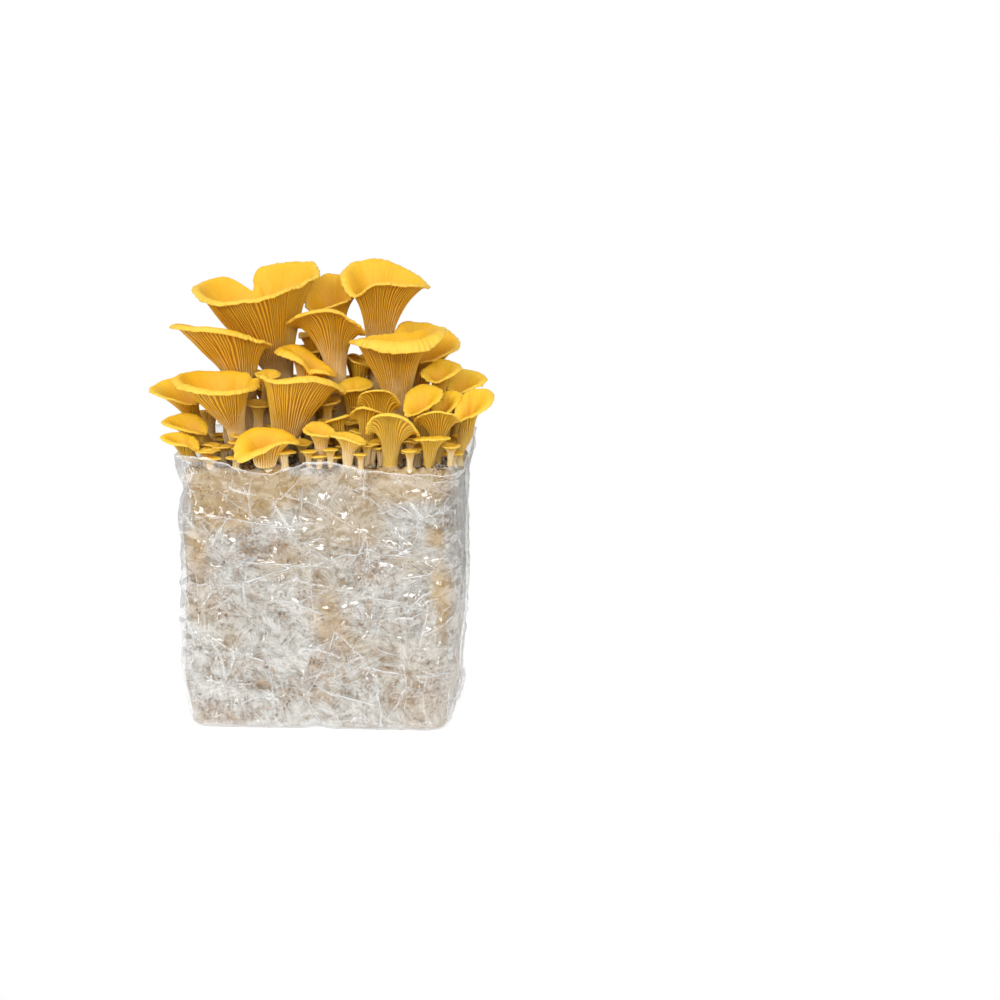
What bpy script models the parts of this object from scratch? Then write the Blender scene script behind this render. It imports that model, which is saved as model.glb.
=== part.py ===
"""Oyster mushroom grow bag.

A clear film bag stands on its flat bottom, filled with a block of substrate
that white mycelium has bound together. Golden oyster mushrooms grow from the
block's top, through the bag's open mouth.

Metres, +Z up, the bag's front toward -Y. The origin is the middle of the flat
bottom. Each mushroom is one solid from its foot to its rim, placed at its foot.
"""

import bmesh
import bpy
import numpy as np
from mathutils import Vector

MM = 0.001

# Driving dimensions, in millimetres.
BAG_LEFT = -97.5
BAG_RIGHT = 98.5
BAG_HALF_DEPTH = 61.0
FILM = 1.0
FILM_TO_BLOCK = 0.5
BLOCK_BOTTOM = 1.5
BLOCK_TOP = 181.0
FOOT_PLANE = 181.3

# The filled bag's section at each height: how far its left, right and front and
# back sides stand in from the driving dimensions, and its corner radius.
SECTIONS = (
    # height, left, right, front and back, corner
    (0, 8.0, 14.0, 7.0, 15),
    (3, 5.0, 11.0, 3.5, 16),
    (10, 3.5, 9.0, 1.2, 18),
    (30, 0.5, 7.5, 0.0, 18),
    (58, 0.8, 5.0, 0.0, 17),
    (85, 1.8, 4.0, 0.3, 16),
    (125, 1.8, 3.6, 0.0, 16),
    (147, 0.5, 3.8, 0.3, 16),
    (158, 2.0, 4.4, 0.8, 16),
    (167, 4.0, 3.6, 1.0, 16),
    (174, 2.6, 2.6, 0.6, 15),
)
MOUTH = (0.0, 0.0, 0.0, 14)

# The film's torn-back rim: its height at sixteen even steps round the mouth,
# counter-clockwise from the middle of the right side.
RIM_HEIGHTS = (187, 195, 197, 193, 190, 193, 195, 192,
               189, 190, 190, 179.5, 188, 182.5, 179.5, 184)

# Steps along a long and a short side between the bag's corners.
LONG_SIDE, SHORT_SIDE = 6, 4


# How finely a mushroom is cut: points round it, rings up its stem, rings from
# the neck (0) out to the shoulder (1), and rings back down inside the funnel.
LARGE = dict(around=16, stem=(0, 0.5), cap=(0, 0.35, 0.7, 1), inside=(1, 0.75, 0.4),
             lip=2.5, flare=25, edge=1.2)
MIDDLE = dict(around=12, stem=(0,), cap=(0, 0.55, 1), inside=(0.95, 0.6),
              lip=2.5, flare=25, edge=1.2)
SMALL = dict(around=10, stem=(0,), cap=(0, 0.5, 1), inside=(0.85,),
             lip=2.0, flare=25, edge=1.5)
PIN = dict(around=8, stem=(0,), cap=(0,), inside=(),
           lip=1.2, flare=10, edge=0.9)


def grow(name, size, foot, neck, reach, rim, flare=None, curl=60, lip=None,
         pull_stem=0.25, pull_rim=0.35, notch=None, lean=None):
    """One mushroom, in millimetres and degrees.

    foot is x, y and radius; neck is x, y, z and radius, where the stem opens
    into the cap. reach and rim are the shoulder's distance from the neck and its
    height, every 45 degrees counter-clockwise from +X. flare is the slope of the
    gills as they meet the shoulder, curl how far the lip turns down beyond it,
    and lip its length. notch is an azimuth, a width, and how far the rim is drawn
    in and down there. lean is the direction in which the cap opens.
    """
    return dict(
        name=name, size=size, foot=foot, neck=neck, reach=reach, rim=rim,
        flare=size["flare"] if flare is None else flare,
        curl=curl, lip=size["lip"] if lip is None else lip,
        pull_stem=pull_stem, pull_rim=pull_rim, notch=notch, lean=lean,
    )


CLUSTER = [
    # The large funnels and fans, from the top of the cluster down.
    grow("funnel_top_left", LARGE, foot=(-35, 32, 9), neck=(-37, 31, 231, 8.5),
         reach=(24, 25, 26, 40, 56, 47, 33, 23),
         rim=(303, 310, 309, 304, 295, 288, 293, 299),
         flare=(60, 55, 50, 52, 56, 52, 50, 55), curl=(65, 65, 65, 65, 85, 85, 75, 65), lip=4,
         pull_stem=0.08,
         pull_rim=0.4, notch=(138, 10, 15, 14)),
    grow("funnel_top_middle", LARGE, foot=(0, 47, 7), neck=(-1, 48, 244, 7),
         reach=(16, 16, 13, 13, 16, 20, 15, 15),
         rim=(290, 298, 302, 300, 291, 280, 281, 286),
         flare=45, lip=3, pull_stem=0.2),
    grow("funnel_top_right", LARGE, foot=(30, 42, 8), neck=(31, 40, 248, 8.5),
         reach=(32, 25, 19, 23, 21, 18, 19, 23),
         rim=(296, 305, 311, 309, 302, 290, 298, 299),
         flare=(35, 45, 50, 50, 45, 55, 55, 45), curl=65, lip=4),
    grow("fan_centre", LARGE, foot=(6, 22, 6.5), neck=(4, 19, 236, 7),
         reach=(15, 13, 12, 17, 28, 24, 15, 15),
         rim=(265, 264, 263, 266, 272, 281, 283, 275),
         flare=(35, 30, 30, 30, 30, 30, 40, 35), curl=(80, 60, 45, 55, 85, 60, 50, 65),
         lip=(5, 3, 3, 3, 5, 3, 3, 4)),
    grow("rolled_lip_right", LARGE, foot=(50, 8, 6.5), neck=(49, 6, 216, 7),
         reach=(27, 25, 20, 20, 28, 23, 18, 24),
         rim=(269, 267, 263, 262, 260, 263, 263, 264),
         flare=(45, 40, 40, 50, 60, 50, 30, 35), curl=(75, 50, 40, 50, 90, 125, 125, 110),
         lip=(6, 3, 3, 3, 5, 9, 13, 12), pull_stem=0.1),
    grow("fan_right_rear", LARGE, foot=(56, 27, 6), neck=(58, 31, 214, 6.5),
         reach=(28, 28, 20, 14, 12, 9, 8, 19),
         rim=(254, 263, 269, 268, 260, 249, 245, 247),
         flare=35, curl=50, lip=3, pull_stem=0.2),
    grow("fan_upper_left", LARGE, foot=(-52, 9, 6), neck=(-57, 5, 227, 6.5),
         reach=(13, 8, 5.5, 12, 46, 37, 18, 16),
         rim=(257, 253, 251, 258, 271, 272, 267, 261),
         flare=(50, 50, 45, 45, 48, 48, 50, 50), curl=(70, 60, 60, 70, 95, 95, 90, 80), lip=4,
         pull_stem=0.06),
    grow("funnel_left", LARGE, foot=(-57, -18, 7), neck=(-60, -24, 203, 6.5),
         reach=(13, 12, 11, 20, 36, 36, 25, 16),
         rim=(236, 239.5, 240, 240, 239.5, 235, 232, 234),
         flare=(40, 40, 40, 50, 55, 55, 50, 40), curl=(75, 70, 60, 70, 95, 100, 90, 80), lip=4,
         pull_stem=0.1,
         notch=(38, 13, 3, 6)),
    grow("funnel_front", LARGE, foot=(-28, -18, 8), neck=(-27, -23, 194, 8),
         reach=(36, 21, 14, 13, 12, 15.5, 24, 31),
         rim=(232, 234, 234, 233, 234, 240, 239, 242),
         flare=(38, 45, 60, 70, 75, 72, 62, 45), curl=(120, 100, 70, 60, 70, 85, 95, 115),
         lip=(8, 5, 3, 3, 3, 3, 4, 7), pull_stem=0.06),
    grow("fan_inner_left", LARGE, foot=(-14, 8, 5.5), neck=(-15, 4, 228, 5.5),
         reach=(17, 10, 9, 12, 17, 13, 12, 17),
         rim=(240, 247, 253, 257, 256, 254, 249, 242),
         flare=10, curl=75, lip=4, notch=(285, 14, 4, 4)),
    grow("fan_over_edge", LARGE, foot=(-33, -49, 7), neck=(-35, -56, 186.5, 7.5),
         reach=(18, 12, 9, 10, 14, 14, 11, 13),
         rim=(201, 205, 207, 206, 202, 194, 196, 200),
         flare=(25, 10, 10, 10, 10, 15, 30, 40), curl=(80, 50, 40, 40, 80, 100, 85, 70),
         lip=(5, 4, 3, 3, 6, 9, 7, 5), pull_stem=0.15, lean=(0, -0.35, 1)),
    # The small shelves and fans at the left edge.
    grow("shelf_left_upper", MIDDLE, foot=(-81, 1, 4.5), neck=(-93, -4, 206, 5),
         reach=(5, 7, 10, 19, 28, 22, 14, 7),
         rim=(222, 227, 231, 234, 229, 224, 220, 220)),
    grow("shelf_left_middle", MIDDLE, foot=(-77, -19, 4), neck=(-88, -23, 194, 4.5),
         reach=(4.5, 6, 7, 12, 21, 16, 9.5, 6.5),
         rim=(201, 206, 210.5, 212, 209, 206, 203, 201),
         flare=20),
    grow("shelf_left_lower", MIDDLE, foot=(-82, -39, 4), neck=(-90, -42, 188, 4.5),
         reach=(4.5, 5, 6, 8, 16, 13, 9, 6),
         rim=(192, 197, 200, 202, 201, 198, 196, 192),
         flare=20),
    # The fans and curled caps at the right edge.
    grow("fan_right_upper", MIDDLE, foot=(74, 7, 4), neck=(77, 7, 221, 4.5),
         reach=(13, 11, 9, 9, 9, 8, 7, 10),
         rim=(243, 246, 247, 244, 240, 236, 234, 238),
         flare=20),
    grow("fan_right_outer", MIDDLE, foot=(86, 14, 4), neck=(91, 17, 212, 4.5),
         reach=(16, 15, 12, 9, 7, 6, 6, 10),
         rim=(233, 237, 238, 235, 230, 226, 225, 228)),
    grow("cap_right_inner", MIDDLE, foot=(79, -7, 4), neck=(82, -5, 206, 4.5),
         reach=(10, 8, 6, 5, 6.5, 8, 8, 7),
         rim=(224, 227, 226, 222, 220, 216, 214, 217)),
    grow("fan_right_tip", MIDDLE, foot=(91, -16, 4.5), neck=(98, -16, 203, 5),
         reach=(16, 16, 8, 6, 5, 6, 7, 13),
         rim=(225, 229, 228, 221, 214, 210, 212, 217)),
    grow("curled_cap_right", MIDDLE, foot=(66, -14, 4), neck=(67, -16, 200, 4.5),
         reach=(12, 13, 11, 10, 9, 10, 9, 11),
         rim=(227, 231, 232, 228, 220, 215, 217, 222)),
    grow("cap_right_front", MIDDLE, foot=(78, -36, 4.5), neck=(80, -35, 200, 5),
         reach=(13, 9, 7, 9, 12, 13, 12, 13),
         rim=(212, 214, 215, 214, 212, 217, 220, 218),
         flare=15),
    # Caps in the middle, in front of the large ones.
    grow("cap_middle_rear", MIDDLE, foot=(40, -16, 4.5), neck=(38, -18, 202, 5),
         reach=(12, 9, 7, 9, 12, 11, 9.5, 11),
         rim=(220, 216, 214, 216, 219, 229, 231.5, 229.5),
         flare=30),
    grow("cap_middle_left", MIDDLE, foot=(32, -33, 4.5), neck=(31, -33, 198, 5),
         reach=(10, 8, 6, 6, 7, 9, 11, 12),
         rim=(214, 212, 212, 212, 213, 219, 222, 219)),
    grow("cap_front_large", MIDDLE, foot=(49, -50, 5.5), neck=(50, -51, 196, 6),
         reach=(16, 13, 9, 11, 12.5, 13, 12.5, 14.5),
         rim=(207, 206, 206, 206, 208, 217.5, 220.5, 217.5),
         flare=15, curl=(110, 70, 50, 70, 110, 70, 55, 70), lip=(4, 3, 2.5, 3, 4, 2.5, 2.5, 2.5)),
    grow("cap_front_right", MIDDLE, foot=(75, -49, 4), neck=(76, -50, 192, 4),
         reach=(11, 9, 5.5, 6, 7.5, 7, 7, 9),
         rim=(202, 202, 202, 202, 202, 202, 202, 202),
         flare=5),
    grow("cap_behind_front", MIDDLE, foot=(20, 4, 5), neck=(19, 3, 204, 5.5),
         reach=(9, 10, 11, 9, 13, 12, 10, 9),
         rim=(231, 233, 234, 232, 229, 228, 229, 230),
         lip=3),
    grow("cap_middle_low", MIDDLE, foot=(13.5, -32, 3.5), neck=(13.5, -33, 198, 4),
         reach=(4.5, 5, 6, 7, 8, 8, 8, 5),
         rim=(214, 213, 212, 211, 210, 212, 214, 215)),
    # Caps low down between the large stems.
    grow("cap_low_left", MIDDLE, foot=(-64, 23, 3.5), neck=(-67, 20, 206, 4),
         reach=(7, 9, 10, 11, 10, 8, 6.5, 5.5),
         rim=(221, 220, 219, 221, 223, 224, 224, 223)),
    grow("cap_low_middle", MIDDLE, foot=(-11, 27, 3.5), neck=(-12, 26, 203, 4),
         reach=(6, 7, 8, 8, 8, 7, 6.5, 6),
         rim=(218, 217, 216, 217, 219, 220, 220, 219)),
    grow("cap_low_right", MIDDLE, foot=(33, 20, 3.5), neck=(33, 19, 205, 4),
         reach=(7.5, 8, 9, 9, 9, 9, 8, 7.5),
         rim=(221, 220, 219, 220, 222, 223, 223, 222)),
    grow("button_low_left", SMALL, foot=(-67, -3, 3), neck=(-69, -6, 196, 3.5),
         reach=(5, 5.5, 6, 6, 5, 5, 5.5, 5),
         rim=(207, 208, 208, 208, 207, 206, 206, 206),
         flare=15),
    grow("button_low_right", SMALL, foot=(56, -24, 3), neck=(56, -27, 194, 3.5),
         reach=(5, 6, 6, 6, 6, 7, 7, 6),
         rim=(205, 206, 207, 207, 206, 205, 204, 204),
         flare=15),
    # Buttons among the caps.
    grow("button_front_left", SMALL, foot=(3, -44, 3.5), neck=(2, -46, 195, 4),
         reach=(7, 7, 8, 9, 10, 9, 8, 7),
         rim=(204, 207, 210, 210, 207, 205, 204, 203),
         flare=10),
    grow("button_front_middle", SMALL, foot=(20.5, -52, 3.5), neck=(21, -53, 191, 4),
         reach=(10, 8, 7, 8, 9, 8, 7, 9),
         rim=(199, 202, 204, 205, 204, 204, 203, 200),
         flare=0),
    grow("button_inner_front", SMALL, foot=(3, -4, 3.5), neck=(0, -5, 204, 4),
         reach=(7, 7, 7, 6, 5, 5, 7, 8),
         rim=(221, 222, 222, 221, 220, 219, 219, 220),
         flare=30),
    grow("cap_between_left", SMALL, foot=(-42, -1, 3.5), neck=(-42.5, -4, 220, 3.8),
         reach=(8, 7, 5, 3.5, 4.5, 5, 6, 7),
         rim=(238, 240, 241, 240, 239, 238, 237, 237),
         flare=35),
    grow("button_between_left", SMALL, foot=(-45, -13, 3), neck=(-46, -14, 203, 3.5),
         reach=(6.5, 5, 4, 5, 7, 6, 5.5, 6),
         rim=(219, 220, 221, 221, 220, 219, 218, 218),
         flare=35),
    grow("cap_inner_rear", MIDDLE, foot=(-15, 43, 4.5), neck=(-16.5, 41, 220, 5),
         reach=(6.5, 5, 6, 8, 8.5, 10, 12, 12),
         rim=(251, 252, 252, 252, 252, 250, 249, 250),
         flare=60, lip=3, pull_stem=0.1),
    grow("button_inner_right", MIDDLE, foot=(18, 32, 4), neck=(19, 31, 216, 4.5),
         reach=(5.5, 4, 5.5, 8, 8, 7, 10, 9),
         rim=(240, 241, 244, 246, 247, 246, 243, 240),
         flare=60, lip=3, pull_stem=0.1),
    # Caps behind the large ones.
    grow("back_cap_left", MIDDLE, foot=(-75, 42, 5), neck=(-80, 49, 208, 5.5),
         reach=(9, 11, 15, 18, 15, 12, 10, 9),
         rim=(225, 224, 222, 224, 227, 229, 229, 227),
         flare=15, lip=3),
    grow("back_fan_left", MIDDLE, foot=(-39, 50, 5.5), neck=(-43, 56, 206, 6.5),
         reach=(15, 17, 19, 18, 15, 11, 10, 12),
         rim=(230, 226, 223, 224, 228, 232, 234, 232),
         flare=20, lip=3),
    grow("back_fan_high_left", MIDDLE, foot=(-54, 34, 4.5), neck=(-66, 41, 233, 5),
         reach=(6, 10, 15, 17, 18, 15, 10, 5.5),
         rim=(249, 248, 246, 247, 250, 253, 253, 251),
         flare=15, lip=3),
    grow("back_fan_high_right", MIDDLE, foot=(36, 54, 4), neck=(39, 59, 226, 5),
         reach=(16, 17, 17, 15, 12, 8, 7.5, 11),
         rim=(247, 245, 243, 244, 247, 250, 251, 249),
         flare=15, lip=3),
    grow("back_cap_middle", MIDDLE, foot=(15, 52, 4.5), neck=(15, 58.5, 207, 5.5),
         reach=(10, 13, 15, 13, 10, 7, 6, 7),
         rim=(228, 226, 224, 226, 229, 231, 232, 230),
         flare=15, lip=3),
    grow("back_cap_right", MIDDLE, foot=(53, 48, 4.5), neck=(58, 54, 204, 5),
         reach=(12, 14, 16, 11, 8, 8, 9, 11),
         rim=(222, 220, 218, 220, 223, 226, 227, 225),
         flare=15, lip=3),
    grow("back_fan_right", MIDDLE, foot=(80, 44, 4.5), neck=(86, 50, 204, 5),
         reach=(15, 16, 16, 14, 12, 10, 10, 12),
         rim=(226, 224, 221, 222, 225, 228, 229, 228),
         flare=15, lip=3),
    grow("back_button_left", SMALL, foot=(-82, 22, 3.5), neck=(-88, 25, 194, 4),
         reach=(8, 9, 10, 11, 12, 10, 8, 8),
         rim=(208, 208, 207, 207, 208, 209, 210, 209),
         flare=15),
    grow("back_button_middle", SMALL, foot=(-20, 52, 3.5), neck=(-21, 57, 197, 4),
         reach=(10, 10, 11, 10, 9, 8, 7, 9),
         rim=(208, 207, 205, 207, 209, 211, 211, 210),
         flare=15),
    grow("back_button_low", SMALL, foot=(-62, 49, 3), neck=(-63, 55, 195, 3.5),
         reach=(9, 9, 9, 9, 9, 7, 7, 8),
         rim=(204, 204, 202, 204, 206, 207, 208, 207),
         flare=15),
    # Pins: mushrooms that have only just formed.
    grow("pin_1", PIN, foot=(-13, -35, 2.2), neck=(-13, -36, 190, 2),
         reach=(6, 5, 5, 5, 6, 5, 5, 6),
         rim=(196, 197, 198, 198, 197, 196, 195, 195)),
    grow("pin_2", PIN, foot=(-6, -51, 2), neck=(-6, -52, 188, 1.8),
         reach=(4, 4, 4, 4, 4, 4, 4, 4),
         rim=193),
    grow("pin_3", PIN, foot=(9, -52, 2.2), neck=(9, -53, 190, 1.8),
         reach=(4, 4, 4, 4, 4, 4, 3.5, 4),
         rim=195),
    grow("pin_4", PIN, foot=(30, -55, 2.2), neck=(30, -56, 188, 1.6),
         reach=(3, 3, 3, 3, 3.5, 3, 3, 3),
         rim=192),
    grow("pin_5", PIN, foot=(33, -47, 2.2), neck=(33, -47, 191, 1.8),
         reach=(4.5, 4, 4, 4, 4.5, 4, 4, 4),
         rim=197),
    grow("pin_6", PIN, foot=(63, -54, 2.2), neck=(63, -54, 189, 1.8),
         reach=(4, 4, 4, 4, 4, 4, 4, 4),
         rim=195),
    grow("pin_7", PIN, foot=(89, -45, 2.2), neck=(90, -46, 192, 2),
         reach=(5, 5, 5, 5, 5, 5, 5, 5),
         rim=197),
    grow("pin_8", PIN, foot=(91, 2, 2), neck=(92, 2, 190, 2),
         reach=(4, 4, 4, 4, 4, 4, 4, 4),
         rim=196),
    grow("pin_9", PIN, foot=(-52, -40, 2.2), neck=(-54, -42, 189, 2),
         reach=(4, 4, 4, 5, 5, 5, 4, 4),
         rim=193),
    grow("pin_10", PIN, foot=(-76, 12, 2.2), neck=(-78, 12, 189, 2),
         reach=(4, 4, 4, 5, 5, 5, 4, 4),
         rim=194),
]

WALL = 2.6
UP = np.array([0.0, 0.0, 1.0])
FINE_CAP, FINE_LIP = 24, 4


# ---------------------------------------------------------------- mushrooms

def unit(v):
    return v / np.linalg.norm(v, axis=-1, keepdims=True)


def around(values, azimuth):
    """A smooth closed curve through evenly spaced values, read at each azimuth."""
    values = np.broadcast_to(np.asarray(values, float), (8,)) if np.isscalar(values) else \
        np.asarray(values, float)
    count = len(values)
    place = azimuth / (2 * np.pi) * count % count
    left = np.floor(place).astype(int)
    t = place - left
    a, b, c, d = (values[(left + k) % count] for k in (-1, 0, 1, 2))
    return 0.5 * (2 * b + (c - a) * t + (2 * a - 5 * b + 4 * c - d) * t**2
                  + (3 * b - a - 3 * c + d) * t**3)


def bezier(a, b, c, d, t):
    return (1 - t)**3 * a + 3 * (1 - t)**2 * t * b + 3 * (1 - t) * t**2 * c + t**3 * d


def ring(centre, axis, radius, azimuth):
    side = unit(np.array([1.0, 0.0, 0.0]) - axis * axis[0])
    forward = np.cross(axis, side)
    return centre + radius * (np.cos(azimuth)[:, None] * side
                              + np.sin(azimuth)[:, None] * forward)


def cap_axis(m):
    if m["lean"]:
        return unit(np.array(m["lean"], float))
    foot = np.array([*m["foot"][:2], FOOT_PLANE])
    return unit(unit(np.array(m["neck"][:3]) - foot) + 1.2 * UP)


def stem_rings(m, azimuth):
    """Rings up the stem, which starts upright and bends over to the cap's axis."""
    foot = np.array([*m["foot"][:2], FOOT_PLANE])
    neck = np.array(m["neck"][:3], float)
    foot_radius, neck_radius = m["foot"][2], m["neck"][3]
    axis = cap_axis(m)
    pull = 0.35 * np.linalg.norm(neck - foot)
    rings = []
    for t in m["size"]["stem"]:
        centre = bezier(foot, foot + UP * pull, neck - axis * pull, neck, t)
        radius = foot_radius + (neck_radius - foot_radius) * t**1.5
        radius *= 1 - 0.1 * np.sin(np.pi * t)
        rings.append(ring(centre, unit(UP * (1 - t) + axis * t), radius, azimuth))
    return rings


def gill_side(m, azimuth):
    """Fine rings of the outer surface, from the neck out to the shoulder and over the lip."""
    neck = np.array(m["neck"][:3], float)
    reach = around(m["reach"], azimuth)
    rise = around(m["rim"], azimuth) - neck[2]
    flare = np.radians(around(m["flare"], azimuth))
    curl = np.radians(around(m["curl"], azimuth))
    lip = around(m["lip"], azimuth)
    if m["notch"]:
        middle, width, inward, down = m["notch"]
        off = (azimuth - np.radians(middle) + np.pi) % (2 * np.pi) - np.pi
        depth = np.exp(-(off / np.radians(width))**2)
        reach = reach - inward * depth
        rise = rise - down * depth
    out = np.stack([np.cos(azimuth), np.sin(azimuth), 0 * azimuth], axis=-1)
    axis = cap_axis(m)
    start = ring(neck, axis, m["neck"][3], azimuth)
    shoulder = neck + reach[:, None] * out + rise[:, None] * UP
    length = np.linalg.norm(shoulder - start, axis=-1)[:, None]
    slope = np.cos(flare)[:, None] * out + np.sin(flare)[:, None] * UP
    leave = start + axis * length * m["pull_stem"]
    arrive = shoulder - slope * length * m["pull_rim"]
    rings = [bezier(start, leave, arrive, shoulder, t)
             for t in np.linspace(0, 1, FINE_CAP + 1)]
    for f in np.arange(1, FINE_LIP + 1) / FINE_LIP:
        turned = flare[:, None] - curl[:, None] * f * (np.arange(8) + 0.5) / 8
        rings.append(shoulder + (lip * f * np.cos(turned).mean(1))[:, None] * out
                     + (lip * f * np.sin(turned).mean(1))[:, None] * UP)
    return np.array(rings)


def inward(m, azimuth):
    """At each fine ring's points, the direction into the mushroom's flesh."""
    dense = 2 * np.pi * np.arange(64) / 64
    surface = gill_side(m, dense)
    round_it = np.roll(surface, -1, axis=1) - np.roll(surface, 1, axis=1)
    along_it = np.gradient(surface, axis=0)
    normal = unit(np.cross(round_it, along_it))
    if np.mean(np.sum(normal[0] * (np.array(m["neck"][:3]) - surface[0]), -1)) < 0:
        normal = -normal
    place = azimuth / (2 * np.pi) * 64 % 64
    left = np.floor(place).astype(int)
    t = (place - left)[None, :, None]
    return unit(normal[:, left % 64] * (1 - t) + normal[:, (left + 1) % 64] * t)


def mushroom_rings(m):
    """The closed solid as rings from the foot, over the rim and down into the throat."""
    size = m["size"]
    edge = size["edge"]
    azimuth = 2 * np.pi * np.arange(size["around"]) / size["around"]
    outer, flesh = gill_side(m, azimuth), inward(m, azimuth)

    def at(place):
        fine = place * FINE_CAP if place <= 1 else FINE_CAP + (place - 1) * FINE_LIP
        low = min(int(fine), len(outer) - 2)
        t = fine - low
        return (outer[low] * (1 - t) + outer[low + 1] * t,
                unit(flesh[low] * (1 - t) + flesh[low + 1] * t))

    throat = np.array(m["neck"][:3]) + cap_axis(m) * m["neck"][3] * 0.6
    rings = stem_rings(m, azimuth) + [at(place)[0] for place in size["cap"]]
    lip_point, lip_flesh = at(2)
    rings += [lip_point, lip_point + lip_flesh * edge]
    for place in size["inside"]:
        point, direction = at(place)
        thick = edge + (WALL - edge) * (1 - place)**0.6
        thick += (m["neck"][3] * 0.9 - WALL) * max(0, 1 - (place - 0.1) / 0.45)**1.5
        closing = (1 - (place - 0.1) / 0.9)**3 if place < 1 else 0
        rings.append((point + direction * thick) * (1 - closing) + throat * closing)
    return rings, throat


def mushroom(m):
    rings, throat = mushroom_rings(m)
    origin = Vector((m["foot"][0], m["foot"][1], FOOT_PLANE))
    bm = bmesh.new()
    loops = [[bm.verts.new((Vector(p) - origin) * MM) for p in points] for points in rings]
    bm.faces.new(loops[0][::-1])
    join_loops(bm, loops)
    tip = bm.verts.new((Vector(throat) - origin) * MM)
    for a, b in pairs(loops[-1]):
        bm.faces.new((a, b, tip))
    material = "pin_flesh" if m["size"] is PIN else "mushroom_flesh"
    return add_object(bm, m["name"], material, origin * MM)


# ------------------------------------------------------------ bag and block

def pairs(loop):
    return zip(loop, loop[1:] + loop[:1])


def join_loops(bm, loops):
    """Triangles between each loop and the next."""
    for low, high in zip(loops, loops[1:]):
        for (a, b), (d, c) in zip(pairs(low), pairs(high)):
            bm.faces.new((a, b, c))
            bm.faces.new((a, c, d))


def outline(left, right, half_depth, corner):
    """A rounded rectangle, counter-clockwise from the back end of its right side."""
    corners = (
        (right - corner, half_depth - corner, 0),
        (left + corner, half_depth - corner, 90),
        (left + corner, corner - half_depth, 180),
        (right - corner, corner - half_depth, 270),
    )
    arcs = []
    for x, y, start in corners:
        turns = np.radians(start + np.array([0, 30, 60, 90]))
        arcs.append([np.array([x + corner * np.cos(a), y + corner * np.sin(a)]) for a in turns])
    points = []
    for k, steps in enumerate((LONG_SIDE, SHORT_SIDE, LONG_SIDE, SHORT_SIDE)):
        here, after = arcs[k][-1], arcs[(k + 1) % 4][0]
        points += arcs[k]
        points += [here + (after - here) * f for f in np.arange(1, steps) / steps]
    return points


def bag_section(row, inset):
    """The outline of the filled bag at one row of SECTIONS, moved in by inset."""
    left, right, depth, corner = row[-4:]
    return outline(BAG_LEFT + left + inset, BAG_RIGHT - right - inset,
                   BAG_HALF_DEPTH - depth - inset, corner - inset)


def rim_heights():
    """The rim's height at each point of the mouth's outline."""
    points = bag_section(MOUTH, 0)
    steps = [np.linalg.norm(b - a) for a, b in pairs(points)]
    from_middle = BAG_HALF_DEPTH - MOUTH[3] + np.concatenate([[0], np.cumsum(steps)[:-1]])
    return around(RIM_HEIGHTS, from_middle / sum(steps) * 2 * np.pi)


def loop_of(bm, points, heights):
    heights = np.broadcast_to(heights, len(points))
    return [bm.verts.new((x * MM, y * MM, z * MM)) for (x, y), z in zip(points, heights)]


def plastic_bag():
    """The film as a shell: up its outside, over the rim and down its inside."""
    rim = rim_heights()
    top = SECTIONS[-1]
    lean_out = [(a + b) / 2 for a, b in zip(top[1:], MOUTH)]
    halfway = (top[0] + rim) / 2
    bm = bmesh.new()
    loops = [loop_of(bm, bag_section(row, 0), row[0]) for row in SECTIONS]
    loops.append(loop_of(bm, bag_section(lean_out, 0), halfway))
    loops.append(loop_of(bm, bag_section(MOUTH, 0), rim))
    loops.append(loop_of(bm, bag_section(MOUTH, FILM), rim))
    loops.append(loop_of(bm, bag_section(lean_out, FILM), halfway))
    loops += [loop_of(bm, bag_section(row, FILM), row[0]) for row in SECTIONS[:0:-1]]
    loops.append(loop_of(bm, bag_section(SECTIONS[0], FILM), FILM))
    bm.faces.new(loops[0][::-1])
    join_loops(bm, loops)
    bm.faces.new(loops[-1])
    return add_object(bm, "plastic_bag", "clear_film")


def substrate_block():
    """The block fills the bag, with a flat top whose edge is a little rounded."""
    inset = FILM + FILM_TO_BLOCK
    bm = bmesh.new()
    loops = [loop_of(bm, bag_section(SECTIONS[0], inset), BLOCK_BOTTOM)]
    loops += [loop_of(bm, bag_section(row, inset), row[0]) for row in SECTIONS[1:]]
    for drop, more in ((2.5, 1.2), (0, 4)):
        loops.append(loop_of(bm, bag_section(SECTIONS[-1], inset + more), BLOCK_TOP - drop))
    bm.faces.new(loops[0][::-1])
    join_loops(bm, loops)
    bm.faces.new(loops[-1])
    return add_object(bm, "substrate_block", "mycelium_block")


# ------------------------------------------------------- objects and colour

MATERIALS = {
    "clear_film": dict(colour=(0.86, 0.87, 0.88), roughness=0.12, transmission=0.9),
    "mycelium_block": dict(colour=(0.72, 0.62, 0.46), roughness=0.85, transmission=0.0),
    "mushroom_flesh": dict(colour=(0.90, 0.55, 0.07), roughness=0.6, transmission=0.0),
    "pin_flesh": dict(colour=(0.86, 0.62, 0.28), roughness=0.6, transmission=0.0),
}


def material_named(name):
    material = bpy.data.materials.get(name)
    if material:
        return material
    look = MATERIALS[name]
    material = bpy.data.materials.new(name)
    material.use_nodes = True
    shader = material.node_tree.nodes["Principled BSDF"]
    shader.inputs["Base Color"].default_value = (*look["colour"], 1)
    shader.inputs["Roughness"].default_value = look["roughness"]
    shader.inputs["Metallic"].default_value = 0.0
    shader.inputs["Transmission Weight"].default_value = look["transmission"]
    return material


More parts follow.
